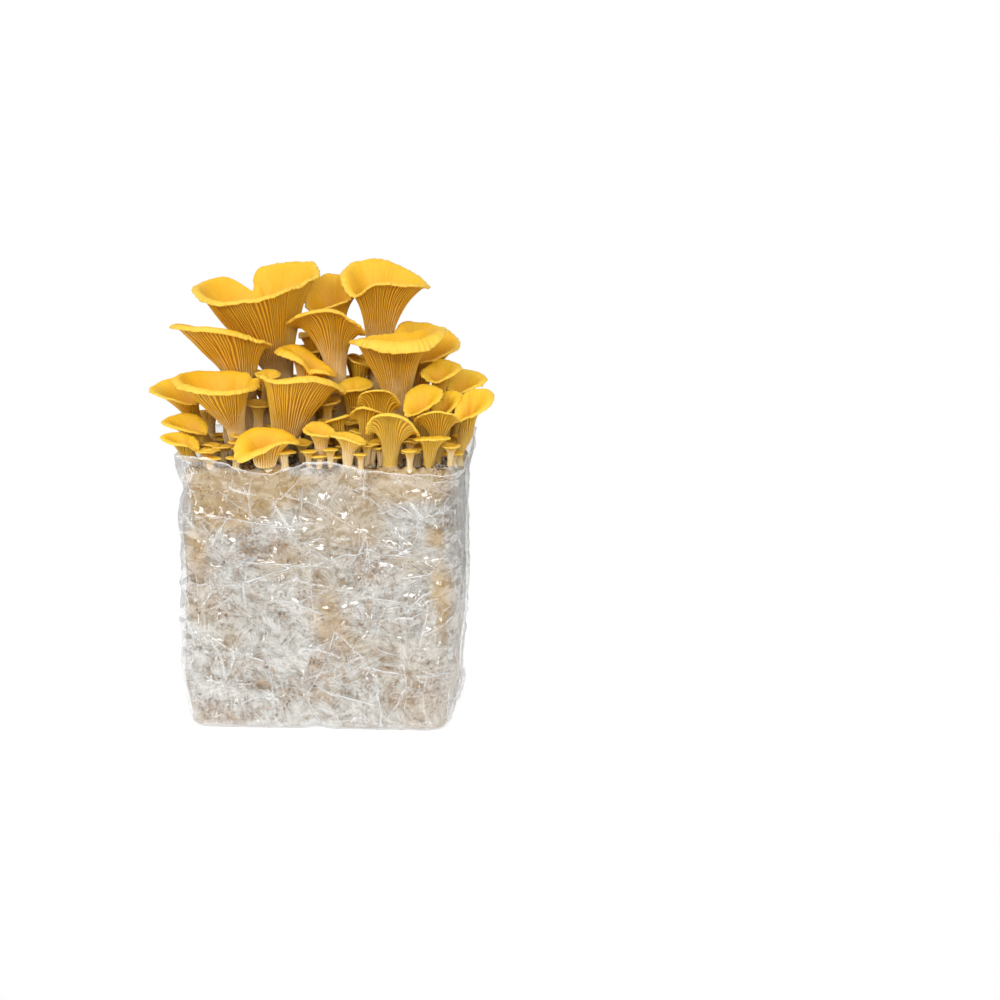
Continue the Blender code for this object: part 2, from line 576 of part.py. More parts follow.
def add_object(bm, name, material, location=(0, 0, 0)):
    mesh = bpy.data.meshes.new(name)
    bm.to_mesh(mesh)
    bm.free()
    mesh.materials.append(material_named(material))
    mesh.shade_smooth()
    mesh.set_sharp_from_angle(angle=np.radians(40))
    part = bpy.data.objects.new(name, mesh)
    part.location = location
    bpy.context.scene.collection.objects.link(part)
    return part


def main():
    for old in list(bpy.data.objects):
        bpy.data.objects.remove(old, do_unlink=True)
    stand = bpy.data.objects.new("grow_bag", None)
    bpy.context.scene.collection.objects.link(stand)
    pieces = [plastic_bag(), substrate_block()] + [mushroom(m) for m in CLUSTER]
    for piece in pieces:
        piece.parent = stand


main()
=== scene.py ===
"""Oyster mushroom grow bag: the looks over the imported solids.

Each mushroom grows from a row of one table, as its solid does, but with gills that
fork on their way out, a scalloped margin and streaked flesh. The lips of six large
funnels turn down further than the solids' lips, and the pins and six small caps open
more steeply. Small sprouts fill the spaces between the stems. The film is a crumpled
shell that clings to a lumpy block of substrate and mycelium.

Millimetres and degrees up to the meshes, which are in metres: +Z up, the bag's
front toward -Y, the origin in the middle of the flat bottom.
"""

import functools
import itertools
import zlib

import bmesh
import bpy
import numpy as np
from mathutils import Matrix, Vector


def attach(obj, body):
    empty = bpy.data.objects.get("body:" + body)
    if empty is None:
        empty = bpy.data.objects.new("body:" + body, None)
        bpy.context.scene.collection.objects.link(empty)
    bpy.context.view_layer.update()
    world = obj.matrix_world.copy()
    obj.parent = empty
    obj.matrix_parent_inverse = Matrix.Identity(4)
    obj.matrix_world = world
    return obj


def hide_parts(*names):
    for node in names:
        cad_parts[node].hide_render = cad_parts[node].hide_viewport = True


MM = 0.001
UP = np.array([0.0, 0.0, 1.0])

# ------------ sizes, as the solids have them

BAG_LEFT = -97.5
BAG_RIGHT = 98.5
BAG_HALF_DEPTH = 61.0
FILM_SPACE = 1.5
BLOCK_BOTTOM = 1.5
BLOCK_TOP = 181.0
FILLED = 174  # the height up to which the bag is full and the film clings to the block
FOOT_PLANE = 181.3
WALL = 2.6

SECTIONS = np.array([
    # height, left, right, front and back, corner
    (0, 8.0, 14.0, 7.0, 15),
    (3, 5.0, 11.0, 3.5, 16),
    (10, 3.5, 9.0, 1.2, 18),
    (30, 0.5, 7.5, 0.0, 18),
    (58, 0.8, 5.0, 0.0, 17),
    (85, 1.8, 4.0, 0.3, 16),
    (125, 1.8, 3.6, 0.0, 16),
    (147, 0.5, 3.8, 0.3, 16),
    (158, 2.0, 4.4, 0.8, 16),
    (167, 4.0, 3.6, 1.0, 16),
    (174, 2.6, 2.6, 0.6, 15),
])
MOUTH = np.array((0.0, 0.0, 0.0, 14))

# The rim's height at sixteen even steps round the mouth, counter-clockwise from
# the middle of the right side.
RIM_HEIGHTS = (187, 195, 197, 193, 190, 193, 195, 192,
               189, 190, 190, 179.5, 188, 182.5, 179.5, 184)

# Each size of mushroom: its rows up the stem, out along the gills, over the lip and back
# down inside, the distance between gills at the rim, the lip's usual length and slope, how
# thick its edge is, and its material.
LARGE = dict(stem=12, gills=28, lip_rows=7, inside=15, pitch=1.35,
             lip=2.5, flare=25, edge=1.6, look="golden")
MIDDLE = dict(stem=9, gills=15, lip_rows=5, inside=9, pitch=1.3,
              lip=2.5, flare=25, edge=1.2, look="ripe")
SMALL = dict(stem=8, gills=11, lip_rows=4, inside=6, pitch=1.15,
             lip=2.0, flare=25, edge=1.5, look="young")
PIN = dict(stem=7, gills=8, lip_rows=4, inside=5, pitch=1.0,
           lip=1.2, flare=35, edge=0.9, look="young")
SPROUT = dict(stem=4, gills=4, lip_rows=2, inside=2, pitch=2.0,
              lip=1.8, flare=30, edge=1.1)


def grow(name, size, foot, neck, reach, rim, **more):
    """One mushroom, in millimetres and degrees.

    foot is x, y and radius; neck is x, y, z and radius, where the stem opens into the
    cap. reach and rim are the shoulder's distance from the neck and its height, every
    45 degrees counter-clockwise from +X, or one number for all round. flare is the
    slope of the gills as they meet the shoulder, curl how far the lip turns down
    beyond it, and lip its length. pull_stem and pull_rim say how long the gills keep
    their direction at either end. notch is an azimuth, a width, and how far the rim
    is drawn in and down there. lean is the direction in which the cap opens.
    """
    usual = dict(flare=size["flare"], lip=size["lip"], curl=60, pull_stem=0.25,
                 pull_rim=0.35, notch=None, lean=None)
    return dict(usual, name=name, size=size, foot=foot, neck=neck, reach=reach, rim=rim, **more)


CLUSTER = [
    # The large funnels and fans, from the top of the cluster down.
    grow("funnel_top_left", LARGE, (-35, 32, 9), (-37, 31, 231, 8.5), (24, 25, 26, 40, 56, 47, 33, 23),
         (303, 310, 309, 304, 295, 288, 293, 299), flare=(60, 55, 50, 52, 56, 52, 50, 55),
         curl=(75, 75, 75, 90, 105, 110, 105, 85), lip=(3.5, 3.5, 3.5, 4, 4.5, 5, 4.5, 4), pull_stem=0.08,
         pull_rim=0.4, notch=(138, 10, 15, 14)),
    grow("funnel_top_middle", LARGE, (0, 47, 7), (-1, 48, 244, 7), (16, 16, 13, 13, 16, 20, 15, 15),
         (290, 298, 302, 300, 291, 280, 281, 286), flare=45, lip=3, pull_stem=0.2),
    grow("funnel_top_right", LARGE, (30, 42, 8), (31, 40, 248, 8.5), (32, 25, 19, 23, 21, 18, 19, 23),
         (296, 305, 311, 309, 302, 290, 298, 299), flare=(35, 45, 50, 50, 45, 55, 55, 45),
         curl=(75, 70, 65, 65, 80, 100, 100, 85), lip=4),
    grow("fan_centre", LARGE, (6, 22, 6.5), (4, 19, 236, 7), (15, 13, 12, 17, 28, 24, 15, 15),
         (265, 264, 263, 266, 272, 281, 283, 275), flare=(35, 30, 30, 30, 30, 30, 40, 35),
         curl=(85, 60, 45, 55, 90, 80, 75, 80), lip=(5, 3, 3, 3, 5.5, 5, 5, 5)),
    grow("rolled_lip_right", LARGE, (50, 8, 6.5), (49, 6, 216, 7), (27, 25, 20, 20, 28, 23, 18, 24),
         (269, 267, 263, 262, 260, 263, 263, 264), flare=(45, 40, 40, 50, 60, 50, 30, 35),
         curl=(75, 50, 40, 50, 90, 125, 125, 110), lip=(6, 3, 3, 3, 5, 9, 13, 12), pull_stem=0.1),
    grow("fan_right_rear", LARGE, (56, 27, 6), (58, 31, 214, 6.5), (28, 28, 20, 14, 12, 9, 8, 19),
         (254, 263, 269, 268, 260, 249, 245, 247), flare=35, curl=50, lip=3, pull_stem=0.2),
    grow("fan_upper_left", LARGE, (-52, 9, 6), (-57, 5, 227, 6.5), (13, 8, 5.5, 12, 46, 37, 18, 16),
         (257, 253, 251, 258, 271, 272, 267, 261), flare=(50, 50, 45, 45, 48, 48, 50, 50),
         curl=(80, 60, 60, 75, 110, 120, 115, 100), lip=(4, 3, 3, 4, 4.5, 5, 5, 4), pull_stem=0.06),
    grow("funnel_left", LARGE, (-57, -18, 7), (-60, -24, 203, 6.5), (13, 12, 11, 20, 36, 36, 25, 16),
         (236, 239.5, 240, 240, 239.5, 235, 232, 234), flare=(40, 40, 40, 50, 55, 55, 50, 40),
         curl=(85, 70, 60, 75, 110, 125, 115, 100), lip=(4, 3, 3, 4, 4.5, 5, 5, 4), pull_stem=0.1,
         notch=(38, 13, 3, 6)),
    grow("funnel_front", LARGE, (-28, -18, 8), (-27, -23, 194, 8), (36, 21, 14, 13, 12, 15.5, 24, 31),
         (232, 234, 234, 233, 234, 240, 239, 242), flare=(38, 45, 60, 70, 75, 72, 62, 45),
         curl=(120, 100, 70, 70, 95, 115, 115, 120), lip=(8, 5, 3, 3, 3.5, 4, 4.5, 7), pull_stem=0.06),
    grow("fan_inner_left", LARGE, (-14, 8, 5.5), (-15, 4, 228, 5.5), (17, 10, 9, 12, 17, 13, 12, 17),
         (240, 247, 253, 257, 256, 254, 249, 242), flare=10, curl=75, lip=4, notch=(285, 14, 4, 4)),
    grow("fan_over_edge", LARGE, (-33, -49, 7), (-35, -56, 186.5, 7.5), (18, 12, 9, 10, 14, 14, 11, 13),
         (201, 205, 207, 206, 202, 194, 196, 200), flare=(25, 10, 10, 10, 10, 15, 30, 40),
         curl=(80, 50, 40, 40, 80, 100, 85, 70), lip=(5, 4, 3, 3, 6, 9, 7, 5), pull_stem=0.15,
         lean=(0, -0.35, 1)),
    # The small shelves and fans at the left edge.
    grow("shelf_left_upper", MIDDLE, (-81, 1, 4.5), (-93, -4, 206, 5), (5, 7, 10, 19, 28, 22, 14, 7),
         (222, 227, 231, 234, 229, 224, 220, 220)),
    grow("shelf_left_middle", MIDDLE, (-77, -19, 4), (-88, -23, 194, 4.5),
         (4.5, 6, 7, 12, 21, 16, 9.5, 6.5), (201, 206, 210.5, 212, 209, 206, 203, 201), flare=20),
    grow("shelf_left_lower", MIDDLE, (-82, -39, 4), (-90, -42, 188, 4.5), (4.5, 5, 6, 8, 16, 13, 9, 6),
         (192, 197, 200, 202, 201, 198, 196, 192), flare=20),
    # The fans and curled caps at the right edge.
    grow("fan_right_upper", MIDDLE, (74, 7, 4), (77, 7, 221, 4.5), (13, 11, 9, 9, 9, 8, 7, 10),
         (243, 246, 247, 244, 240, 236, 234, 238), flare=20),
    grow("fan_right_outer", MIDDLE, (86, 14, 4), (91, 17, 212, 4.5), (16, 15, 12, 9, 7, 6, 6, 10),
         (233, 237, 238, 235, 230, 226, 225, 228)),
    grow("cap_right_inner", MIDDLE, (79, -7, 4), (82, -5, 206, 4.5), (10, 8, 6, 5, 6.5, 8, 8, 7),
         (224, 227, 226, 222, 220, 216, 214, 217)),
    grow("fan_right_tip", MIDDLE, (91, -16, 4.5), (98, -16, 203, 5), (16, 16, 8, 6, 5, 6, 7, 13),
         (225, 229, 228, 221, 214, 210, 212, 217)),
    grow("curled_cap_right", MIDDLE, (66, -14, 4), (67, -16, 200, 4.5), (12, 13, 11, 10, 9, 10, 9, 11),
         (227, 231, 232, 228, 220, 215, 217, 222)),
    grow("cap_right_front", MIDDLE, (78, -36, 4.5), (80, -35, 200, 5), (13, 9, 7, 9, 12, 13, 12, 13),
         (212, 214, 215, 214, 212, 217, 220, 218), flare=40),
    # Caps in the middle, in front of the large ones.
    grow("cap_middle_rear", MIDDLE, (40, -16, 4.5), (38, -18, 202, 5), (12, 9, 7, 9, 12, 11, 9.5, 11),
         (220, 216, 214, 216, 219, 229, 231.5, 229.5), flare=30),
    grow("cap_middle_left", MIDDLE, (32, -33, 4.5), (31, -33, 198, 5), (10, 8, 6, 6, 7, 9, 11, 12),
         (214, 212, 212, 212, 213, 219, 222, 219)),
    grow("cap_front_large", MIDDLE, (49, -50, 5.5), (50, -51, 196, 6),
         (16, 13, 9, 11, 12.5, 13, 12.5, 14.5), (207, 206, 206, 206, 208, 217.5, 220.5, 217.5), flare=15,
         curl=(110, 70, 50, 70, 110, 70, 55, 70), lip=(4, 3, 2.5, 3, 4, 2.5, 2.5, 2.5)),
    grow("cap_front_right", MIDDLE, (75, -49, 4), (76, -50, 192, 4), (11, 9, 5.5, 6, 7.5, 7, 7, 9), 202,
         flare=35),
    grow("cap_behind_front", MIDDLE, (20, 4, 5), (19, 3, 204, 5.5), (9, 10, 11, 9, 13, 12, 10, 9),
         (231, 233, 234, 232, 229, 228, 229, 230), lip=3),
    grow("cap_middle_low", MIDDLE, (13.5, -32, 3.5), (13.5, -33, 198, 4), (4.5, 5, 6, 7, 8, 8, 8, 5),
         (214, 213, 212, 211, 210, 212, 214, 215)),
    # Caps low down between the large stems.
    grow("cap_low_left", MIDDLE, (-64, 23, 3.5), (-67, 20, 206, 4), (7, 9, 10, 11, 10, 8, 6.5, 5.5),
         (221, 220, 219, 221, 223, 224, 224, 223)),
    grow("cap_low_middle", MIDDLE, (-11, 27, 3.5), (-12, 26, 203, 4), (6, 7, 8, 8, 8, 7, 6.5, 6),
         (218, 217, 216, 217, 219, 220, 220, 219)),
    grow("cap_low_right", MIDDLE, (33, 20, 3.5), (33, 19, 205, 4), (7.5, 8, 9, 9, 9, 9, 8, 7.5),
         (221, 220, 219, 220, 222, 223, 223, 222)),
    grow("button_low_left", SMALL, (-67, -3, 3), (-69, -6, 196, 3.5), (5, 5.5, 6, 6, 5, 5, 5.5, 5),
         (207, 208, 208, 208, 207, 206, 206, 206), flare=35),
    grow("button_low_right", SMALL, (56, -24, 3), (56, -27, 194, 3.5), (5, 6, 6, 6, 6, 7, 7, 6),
         (205, 206, 207, 207, 206, 205, 204, 204), flare=35),
    # Buttons among the caps.
    grow("button_front_left", SMALL, (3, -44, 3.5), (2, -46, 195, 4), (7, 7, 8, 9, 10, 9, 8, 7),
         (204, 207, 210, 210, 207, 205, 204, 203), flare=35),
    grow("button_front_middle", SMALL, (20.5, -52, 3.5), (21, -53, 191, 4), (10, 8, 7, 8, 9, 8, 7, 9),
         (199, 202, 204, 205, 204, 204, 203, 200), flare=35),
    grow("button_inner_front", SMALL, (3, -4, 3.5), (0, -5, 204, 4), (7, 7, 7, 6, 5, 5, 7, 8),
         (221, 222, 222, 221, 220, 219, 219, 220), flare=30),
    grow("cap_between_left", SMALL, (-42, -1, 3.5), (-42.5, -4, 220, 3.8), (8, 7, 5, 3.5, 4.5, 5, 6, 7),
         (238, 240, 241, 240, 239, 238, 237, 237), flare=35),
    grow("button_between_left", SMALL, (-45, -13, 3), (-46, -14, 203, 3.5), (6.5, 5, 4, 5, 7, 6, 5.5, 6),
         (219, 220, 221, 221, 220, 219, 218, 218), flare=35),
    grow("cap_inner_rear", MIDDLE, (-15, 43, 4.5), (-16.5, 41, 220, 5), (6.5, 5, 6, 8, 8.5, 10, 12, 12),
         (251, 252, 252, 252, 252, 250, 249, 250), flare=60, lip=3, pull_stem=0.1),
    grow("button_inner_right", MIDDLE, (18, 32, 4), (19, 31, 216, 4.5), (5.5, 4, 5.5, 8, 8, 7, 10, 9),
         (240, 241, 244, 246, 247, 246, 243, 240), flare=60, lip=3, pull_stem=0.1),
    # Caps behind the large ones.
    grow("back_cap_left", MIDDLE, (-75, 42, 5), (-80, 49, 208, 5.5), (9, 11, 15, 18, 15, 12, 10, 9),
         (225, 224, 222, 224, 227, 229, 229, 227), flare=15, lip=3),
    grow("back_fan_left", MIDDLE, (-39, 50, 5.5), (-43, 56, 206, 6.5), (15, 17, 19, 18, 15, 11, 10, 12),
         (230, 226, 223, 224, 228, 232, 234, 232), flare=20, lip=3),
    grow("back_fan_high_left", MIDDLE, (-54, 34, 4.5), (-66, 41, 233, 5),
         (6, 10, 15, 17, 18, 15, 10, 5.5), (249, 248, 246, 247, 250, 253, 253, 251), flare=15, lip=3),
    grow("back_fan_high_right", MIDDLE, (36, 54, 4), (39, 59, 226, 5), (16, 17, 17, 15, 12, 8, 7.5, 11),
         (247, 245, 243, 244, 247, 250, 251, 249), flare=15, lip=3),
    grow("back_cap_middle", MIDDLE, (15, 52, 4.5), (15, 58.5, 207, 5.5), (10, 13, 15, 13, 10, 7, 6, 7),
         (228, 226, 224, 226, 229, 231, 232, 230), flare=15, lip=3),
    grow("back_cap_right", MIDDLE, (53, 48, 4.5), (58, 54, 204, 5), (12, 14, 16, 11, 8, 8, 9, 11),
         (222, 220, 218, 220, 223, 226, 227, 225), flare=15, lip=3),
    grow("back_fan_right", MIDDLE, (80, 44, 4.5), (86, 50, 204, 5), (15, 16, 16, 14, 12, 10, 10, 12),
         (226, 224, 221, 222, 225, 228, 229, 228), flare=15, lip=3),
    grow("back_button_left", SMALL, (-82, 22, 3.5), (-88, 25, 194, 4), (8, 9, 10, 11, 12, 10, 8, 8),
         (208, 208, 207, 207, 208, 209, 210, 209), flare=15),
    grow("back_button_middle", SMALL, (-20, 52, 3.5), (-21, 57, 197, 4), (10, 10, 11, 10, 9, 8, 7, 9),
         (208, 207, 205, 207, 209, 211, 211, 210), flare=15),
    grow("back_button_low", SMALL, (-62, 49, 3), (-63, 55, 195, 3.5), (9, 9, 9, 9, 9, 7, 7, 8),
         (204, 204, 202, 204, 206, 207, 208, 207), flare=15),
    # Pins: mushrooms that have only just formed.
    grow("pin_1", PIN, (-13, -35, 2.2), (-13, -36, 190, 2), (6, 5, 5, 5, 6, 5, 5, 6),
         (196, 197, 198, 198, 197, 196, 195, 195)),
    grow("pin_2", PIN, (-6, -51, 2), (-6, -52, 188, 1.8), 4, 193),
    grow("pin_3", PIN, (9, -52, 2.2), (9, -53, 190, 1.8), (4, 4, 4, 4, 4, 4, 3.5, 4), 195),
    grow("pin_4", PIN, (30, -55, 2.2), (30, -56, 188, 1.6), (3, 3, 3, 3, 3.5, 3, 3, 3), 192),
    grow("pin_5", PIN, (33, -47, 2.2), (33, -47, 191, 1.8), (4.5, 4, 4, 4, 4.5, 4, 4, 4), 197),
    grow("pin_6", PIN, (63, -54, 2.2), (63, -54, 189, 1.8), 4, 195),
    grow("pin_7", PIN, (89, -45, 2.2), (90, -46, 192, 2), 5, 197),
    grow("pin_8", PIN, (91, 2, 2), (92, 2, 190, 2), 4, 196),
    grow("pin_9", PIN, (-52, -40, 2.2), (-54, -42, 189, 2), (4, 4, 4, 5, 5, 5, 4, 4), 193),
    grow("pin_10", PIN, (-76, 12, 2.2), (-78, 12, 189, 2), (4, 4, 4, 5, 5, 5, 4, 4), 194),
]


# ------------ small maths

def beside(*parts):
    """Arrays joined on their last axis, each spread over the others' rows and columns."""
    shape = np.broadcast_shapes(*(part.shape[:-1] for part in parts))
    return np.concatenate([np.broadcast_to(part, (*shape, part.shape[-1])) for part in parts],
                          axis=-1)


def level(azimuth):
    """The level unit vector toward each azimuth."""
    return np.stack([np.cos(azimuth), np.sin(azimuth), 0 * azimuth], axis=-1)


def unit(v):
    return v / np.linalg.norm(v, axis=-1, keepdims=True)


def step(low, high, value):
    """0 below low, 1 above high and smooth between."""
    t = np.clip((value - low) / (high - low), 0, 1)
    return t * t * (3 - 2 * t)


def around(values, azimuth):
    """A smooth closed curve through evenly spaced values, read at each azimuth."""
    values = np.full(8, values, float) if np.isscalar(values) else np.array(values, float)
    count = len(values)
    place = azimuth / (2 * np.pi) * count % count
    left = np.floor(place).astype(int)
    t = place - left
    a, b, c, d = (values[(left + k) % count] for k in (-1, 0, 1, 2))
    return 0.5 * (2 * b + (c - a) * t + (2 * a - 5 * b + 4 * c - d) * t**2
                  + (3 * b - a - 3 * c + d) * t**3)


def bezier(a, b, c, d, t):
    return (1 - t)**3 * a + 3 * (1 - t)**2 * t * b + 3 * (1 - t) * t**2 * c + t**3 * d


def lattice(cell, seed):
    """A random value from -1 to 1 for each whole-numbered point."""
    mixed = (cell @ np.array([73856093, 19349663, 83492791]) + seed * 2654435) & 0xFFFFFFFF
    for _ in range(2):
        mixed = ((mixed ^ (mixed >> 15)) * 0x2C1B3C6D) & 0xFFFFFFFF
    return ((mixed >> 8) & 0xFFFF) / 32767.5 - 1


def noise(points, seed=0):
    """Smooth noise from -1 to 1, with one cell for each unit of points."""
    cell = np.floor(points).astype(np.int64)
    t = points - cell
    t = t * t * (3 - 2 * t)
    total = 0
    for corner in itertools.product((0, 1), repeat=3):
        weight = np.prod(np.where(np.array(corner) == 1, t, 1 - t), axis=-1)
        total = total + weight * lattice(cell + np.array(corner), seed)
    return total


def rough_noise(points, seed=0, octaves=3):
    """Noise with finer noise over it."""
    return sum(noise(points * 2**k, seed + 17 * k) / 2**k for k in range(octaves)) / 1.5


def grid_normals(surface):
    """Unit normals of a grid of points that closes on itself from column to column."""
    across = np.roll(surface, -1, axis=1) - np.roll(surface, 1, axis=1)
    along = np.gradient(surface, axis=0)
    return unit(np.cross(across, along))


def new_piece(name, points, faces, material, attributes):
    """A mesh piece from points in millimetres, riding on the root body."""
    mesh = bpy.data.meshes.new(name)
    mesh.from_pydata(np.asarray(points) * MM, [], faces)
    for title, values in attributes.items():
        values = np.asarray(values, np.float32)
        kind, key = ("FLOAT_VECTOR", "vector") if values.ndim == 2 else ("FLOAT", "value")
        mesh.attributes.new(title, kind, "POINT").data.foreach_set(key, values.ravel())
    mesh.materials.append(material)
    mesh.shade_smooth()
    piece = bpy.data.objects.new(name, mesh)
    bpy.context.scene.collection.objects.link(piece)
    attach(piece, "root")
    return piece


def closed_faces(rows, columns):
    """Quads between the rows of a grid that closes on itself, and fans over its two ends.

    The tip beyond the last row comes after the grid's points, then the first row's tip.
    """
    row, column = np.meshgrid(np.arange(rows - 1), np.arange(columns), indexing="ij")
    after = (column + 1) % columns
    corners = (row * columns + column, row * columns + after,
               (row + 1) * columns + after, (row + 1) * columns + column)
    faces = np.stack(corners, axis=-1).reshape(-1, 4).tolist()
    count = rows * columns
    for ring, tip in ((list(range(count - columns, count)), count),
                      (list(range(columns))[::-1], count + 1)):
        faces += [[a, b, tip] for a, b in zip(ring, ring[1:] + ring[:1])]
    return faces


# ------------ mushrooms

GILL_RELIEF = 0.46
FEWEST_GILLS = 7
STEEPEST = 0.75
GILL_WANDER = 0.6
SCALLOP = 1.2
SCALLOP_LENGTH = 3.2
SWELL = 0.55
FIBRE_RELIEF = 0.22
STREAK_RELIEF = 0.16
STEM_ROOT = 2.2


def ring_point(centre, axis, radius, azimuth):
    side = unit(np.array([1.0, 0.0, 0.0]) - axis * axis[..., :1])
    forward = np.cross(axis, side)
    return centre + radius * (np.cos(azimuth)[..., None] * side
                              + np.sin(azimuth)[..., None] * forward)


def cap_axis(m):
    if m["lean"]:
        return unit(np.array(m["lean"], float))
    foot = np.array([*m["foot"][:2], FOOT_PLANE])
    return unit(unit(np.array(m["neck"][:3]) - foot) + 1.2 * UP)


def stem_surface(m, azimuth, place):
    """Points on the stem, from its foot at place 0 to the neck at place 1."""
    foot = np.array([*m["foot"][:2], FOOT_PLANE])
    neck = np.array(m["neck"][:3], float)
    foot_radius, neck_radius = m["foot"][2], m["neck"][3]
    axis = cap_axis(m)
    pull = 0.35 * np.linalg.norm(neck - foot)
    t = np.maximum(place, 0)[..., None]
    centre = bezier(foot, foot + UP * pull, neck - axis * pull, neck, t)
    centre = centre + UP * STEM_ROOT * np.minimum(place, 0)[..., None]
    radius = foot_radius + (neck_radius - foot_radius) * t**1.5
    radius = radius * (1 - 0.1 * np.sin(np.pi * t))
    radius = radius * (1 + 0.18 * step(0.22, 0.0, t))
    return ring_point(centre, unit(UP * (1 - t) + axis * t), radius, azimuth)


def cap_surface(m, azimuth, place):
    """Points on the gill side: the neck at place 0, the shoulder at 1, the lip's end at 2."""
    neck = np.array(m["neck"][:3], float)
    reach = around(m["reach"], azimuth)
    rise = around(m["rim"], azimuth) - neck[2]
    flare = np.radians(around(m["flare"], azimuth))
    curl = np.radians(around(m["curl"], azimuth))
    lip = around(m["lip"], azimuth)
    if m["notch"]:
        middle, width, inward, down = m["notch"]
        off = (azimuth - np.radians(middle) + np.pi) % (2 * np.pi) - np.pi
        depth = np.exp(-(off / np.radians(width))**2)
        reach = reach - inward * depth
        rise = rise - down * depth
    out = level(azimuth)
    axis = cap_axis(m)
    start = ring_point(neck, axis, m["neck"][3], azimuth)
    shoulder = neck + reach[..., None] * out + rise[..., None] * UP
    length = np.linalg.norm(shoulder - start, axis=-1)[..., None]
    slope = np.cos(flare)[..., None] * out + np.sin(flare)[..., None] * UP
    leave = start + axis * length * m["pull_stem"]
    arrive = shoulder - slope * length * m["pull_rim"]
    surface = bezier(start, leave, arrive, shoulder, np.minimum(place, 1)[..., None])
    over = np.clip(place - 1, 0, 1)
    turned = flare[..., None] - (curl * over)[..., None] * (np.arange(8) + 0.5) / 8
    run = (lip * over)[..., None]
    return surface + run * np.cos(turned).mean(-1)[..., None] * out \
        + run * np.sin(turned).mean(-1)[..., None] * UP


def flesh_thickness(m, place):
    """How thick the flesh is, from the thin lip to the solid neck."""
    edge = m["size"]["edge"]
    thick = edge + (WALL - edge) * np.clip(1 - place, 0, 1)**0.6
    deep = np.clip(1 - (place - 0.1) / 0.45, 0, 1)**1.5
    return thick + (m["neck"][3] * 0.9 - WALL) * deep


def gill_waves(count, rows, seed):
    """For each row and column, 1 on a gill's edge and -1 in the hollow beside it.

    Four columns make one gill. Each gill forks in two somewhere on its way out.
    """
    fork = np.random.default_rng(seed).uniform(0.15, 1.1, count)
    forked = step(0, 0.18, rows[:, None] - fork)
    waves = np.stack([np.ones_like(forked), -forked, 1.9 * forked - 1, -forked], axis=-1)
    return waves.reshape(len(rows), 4 * count)


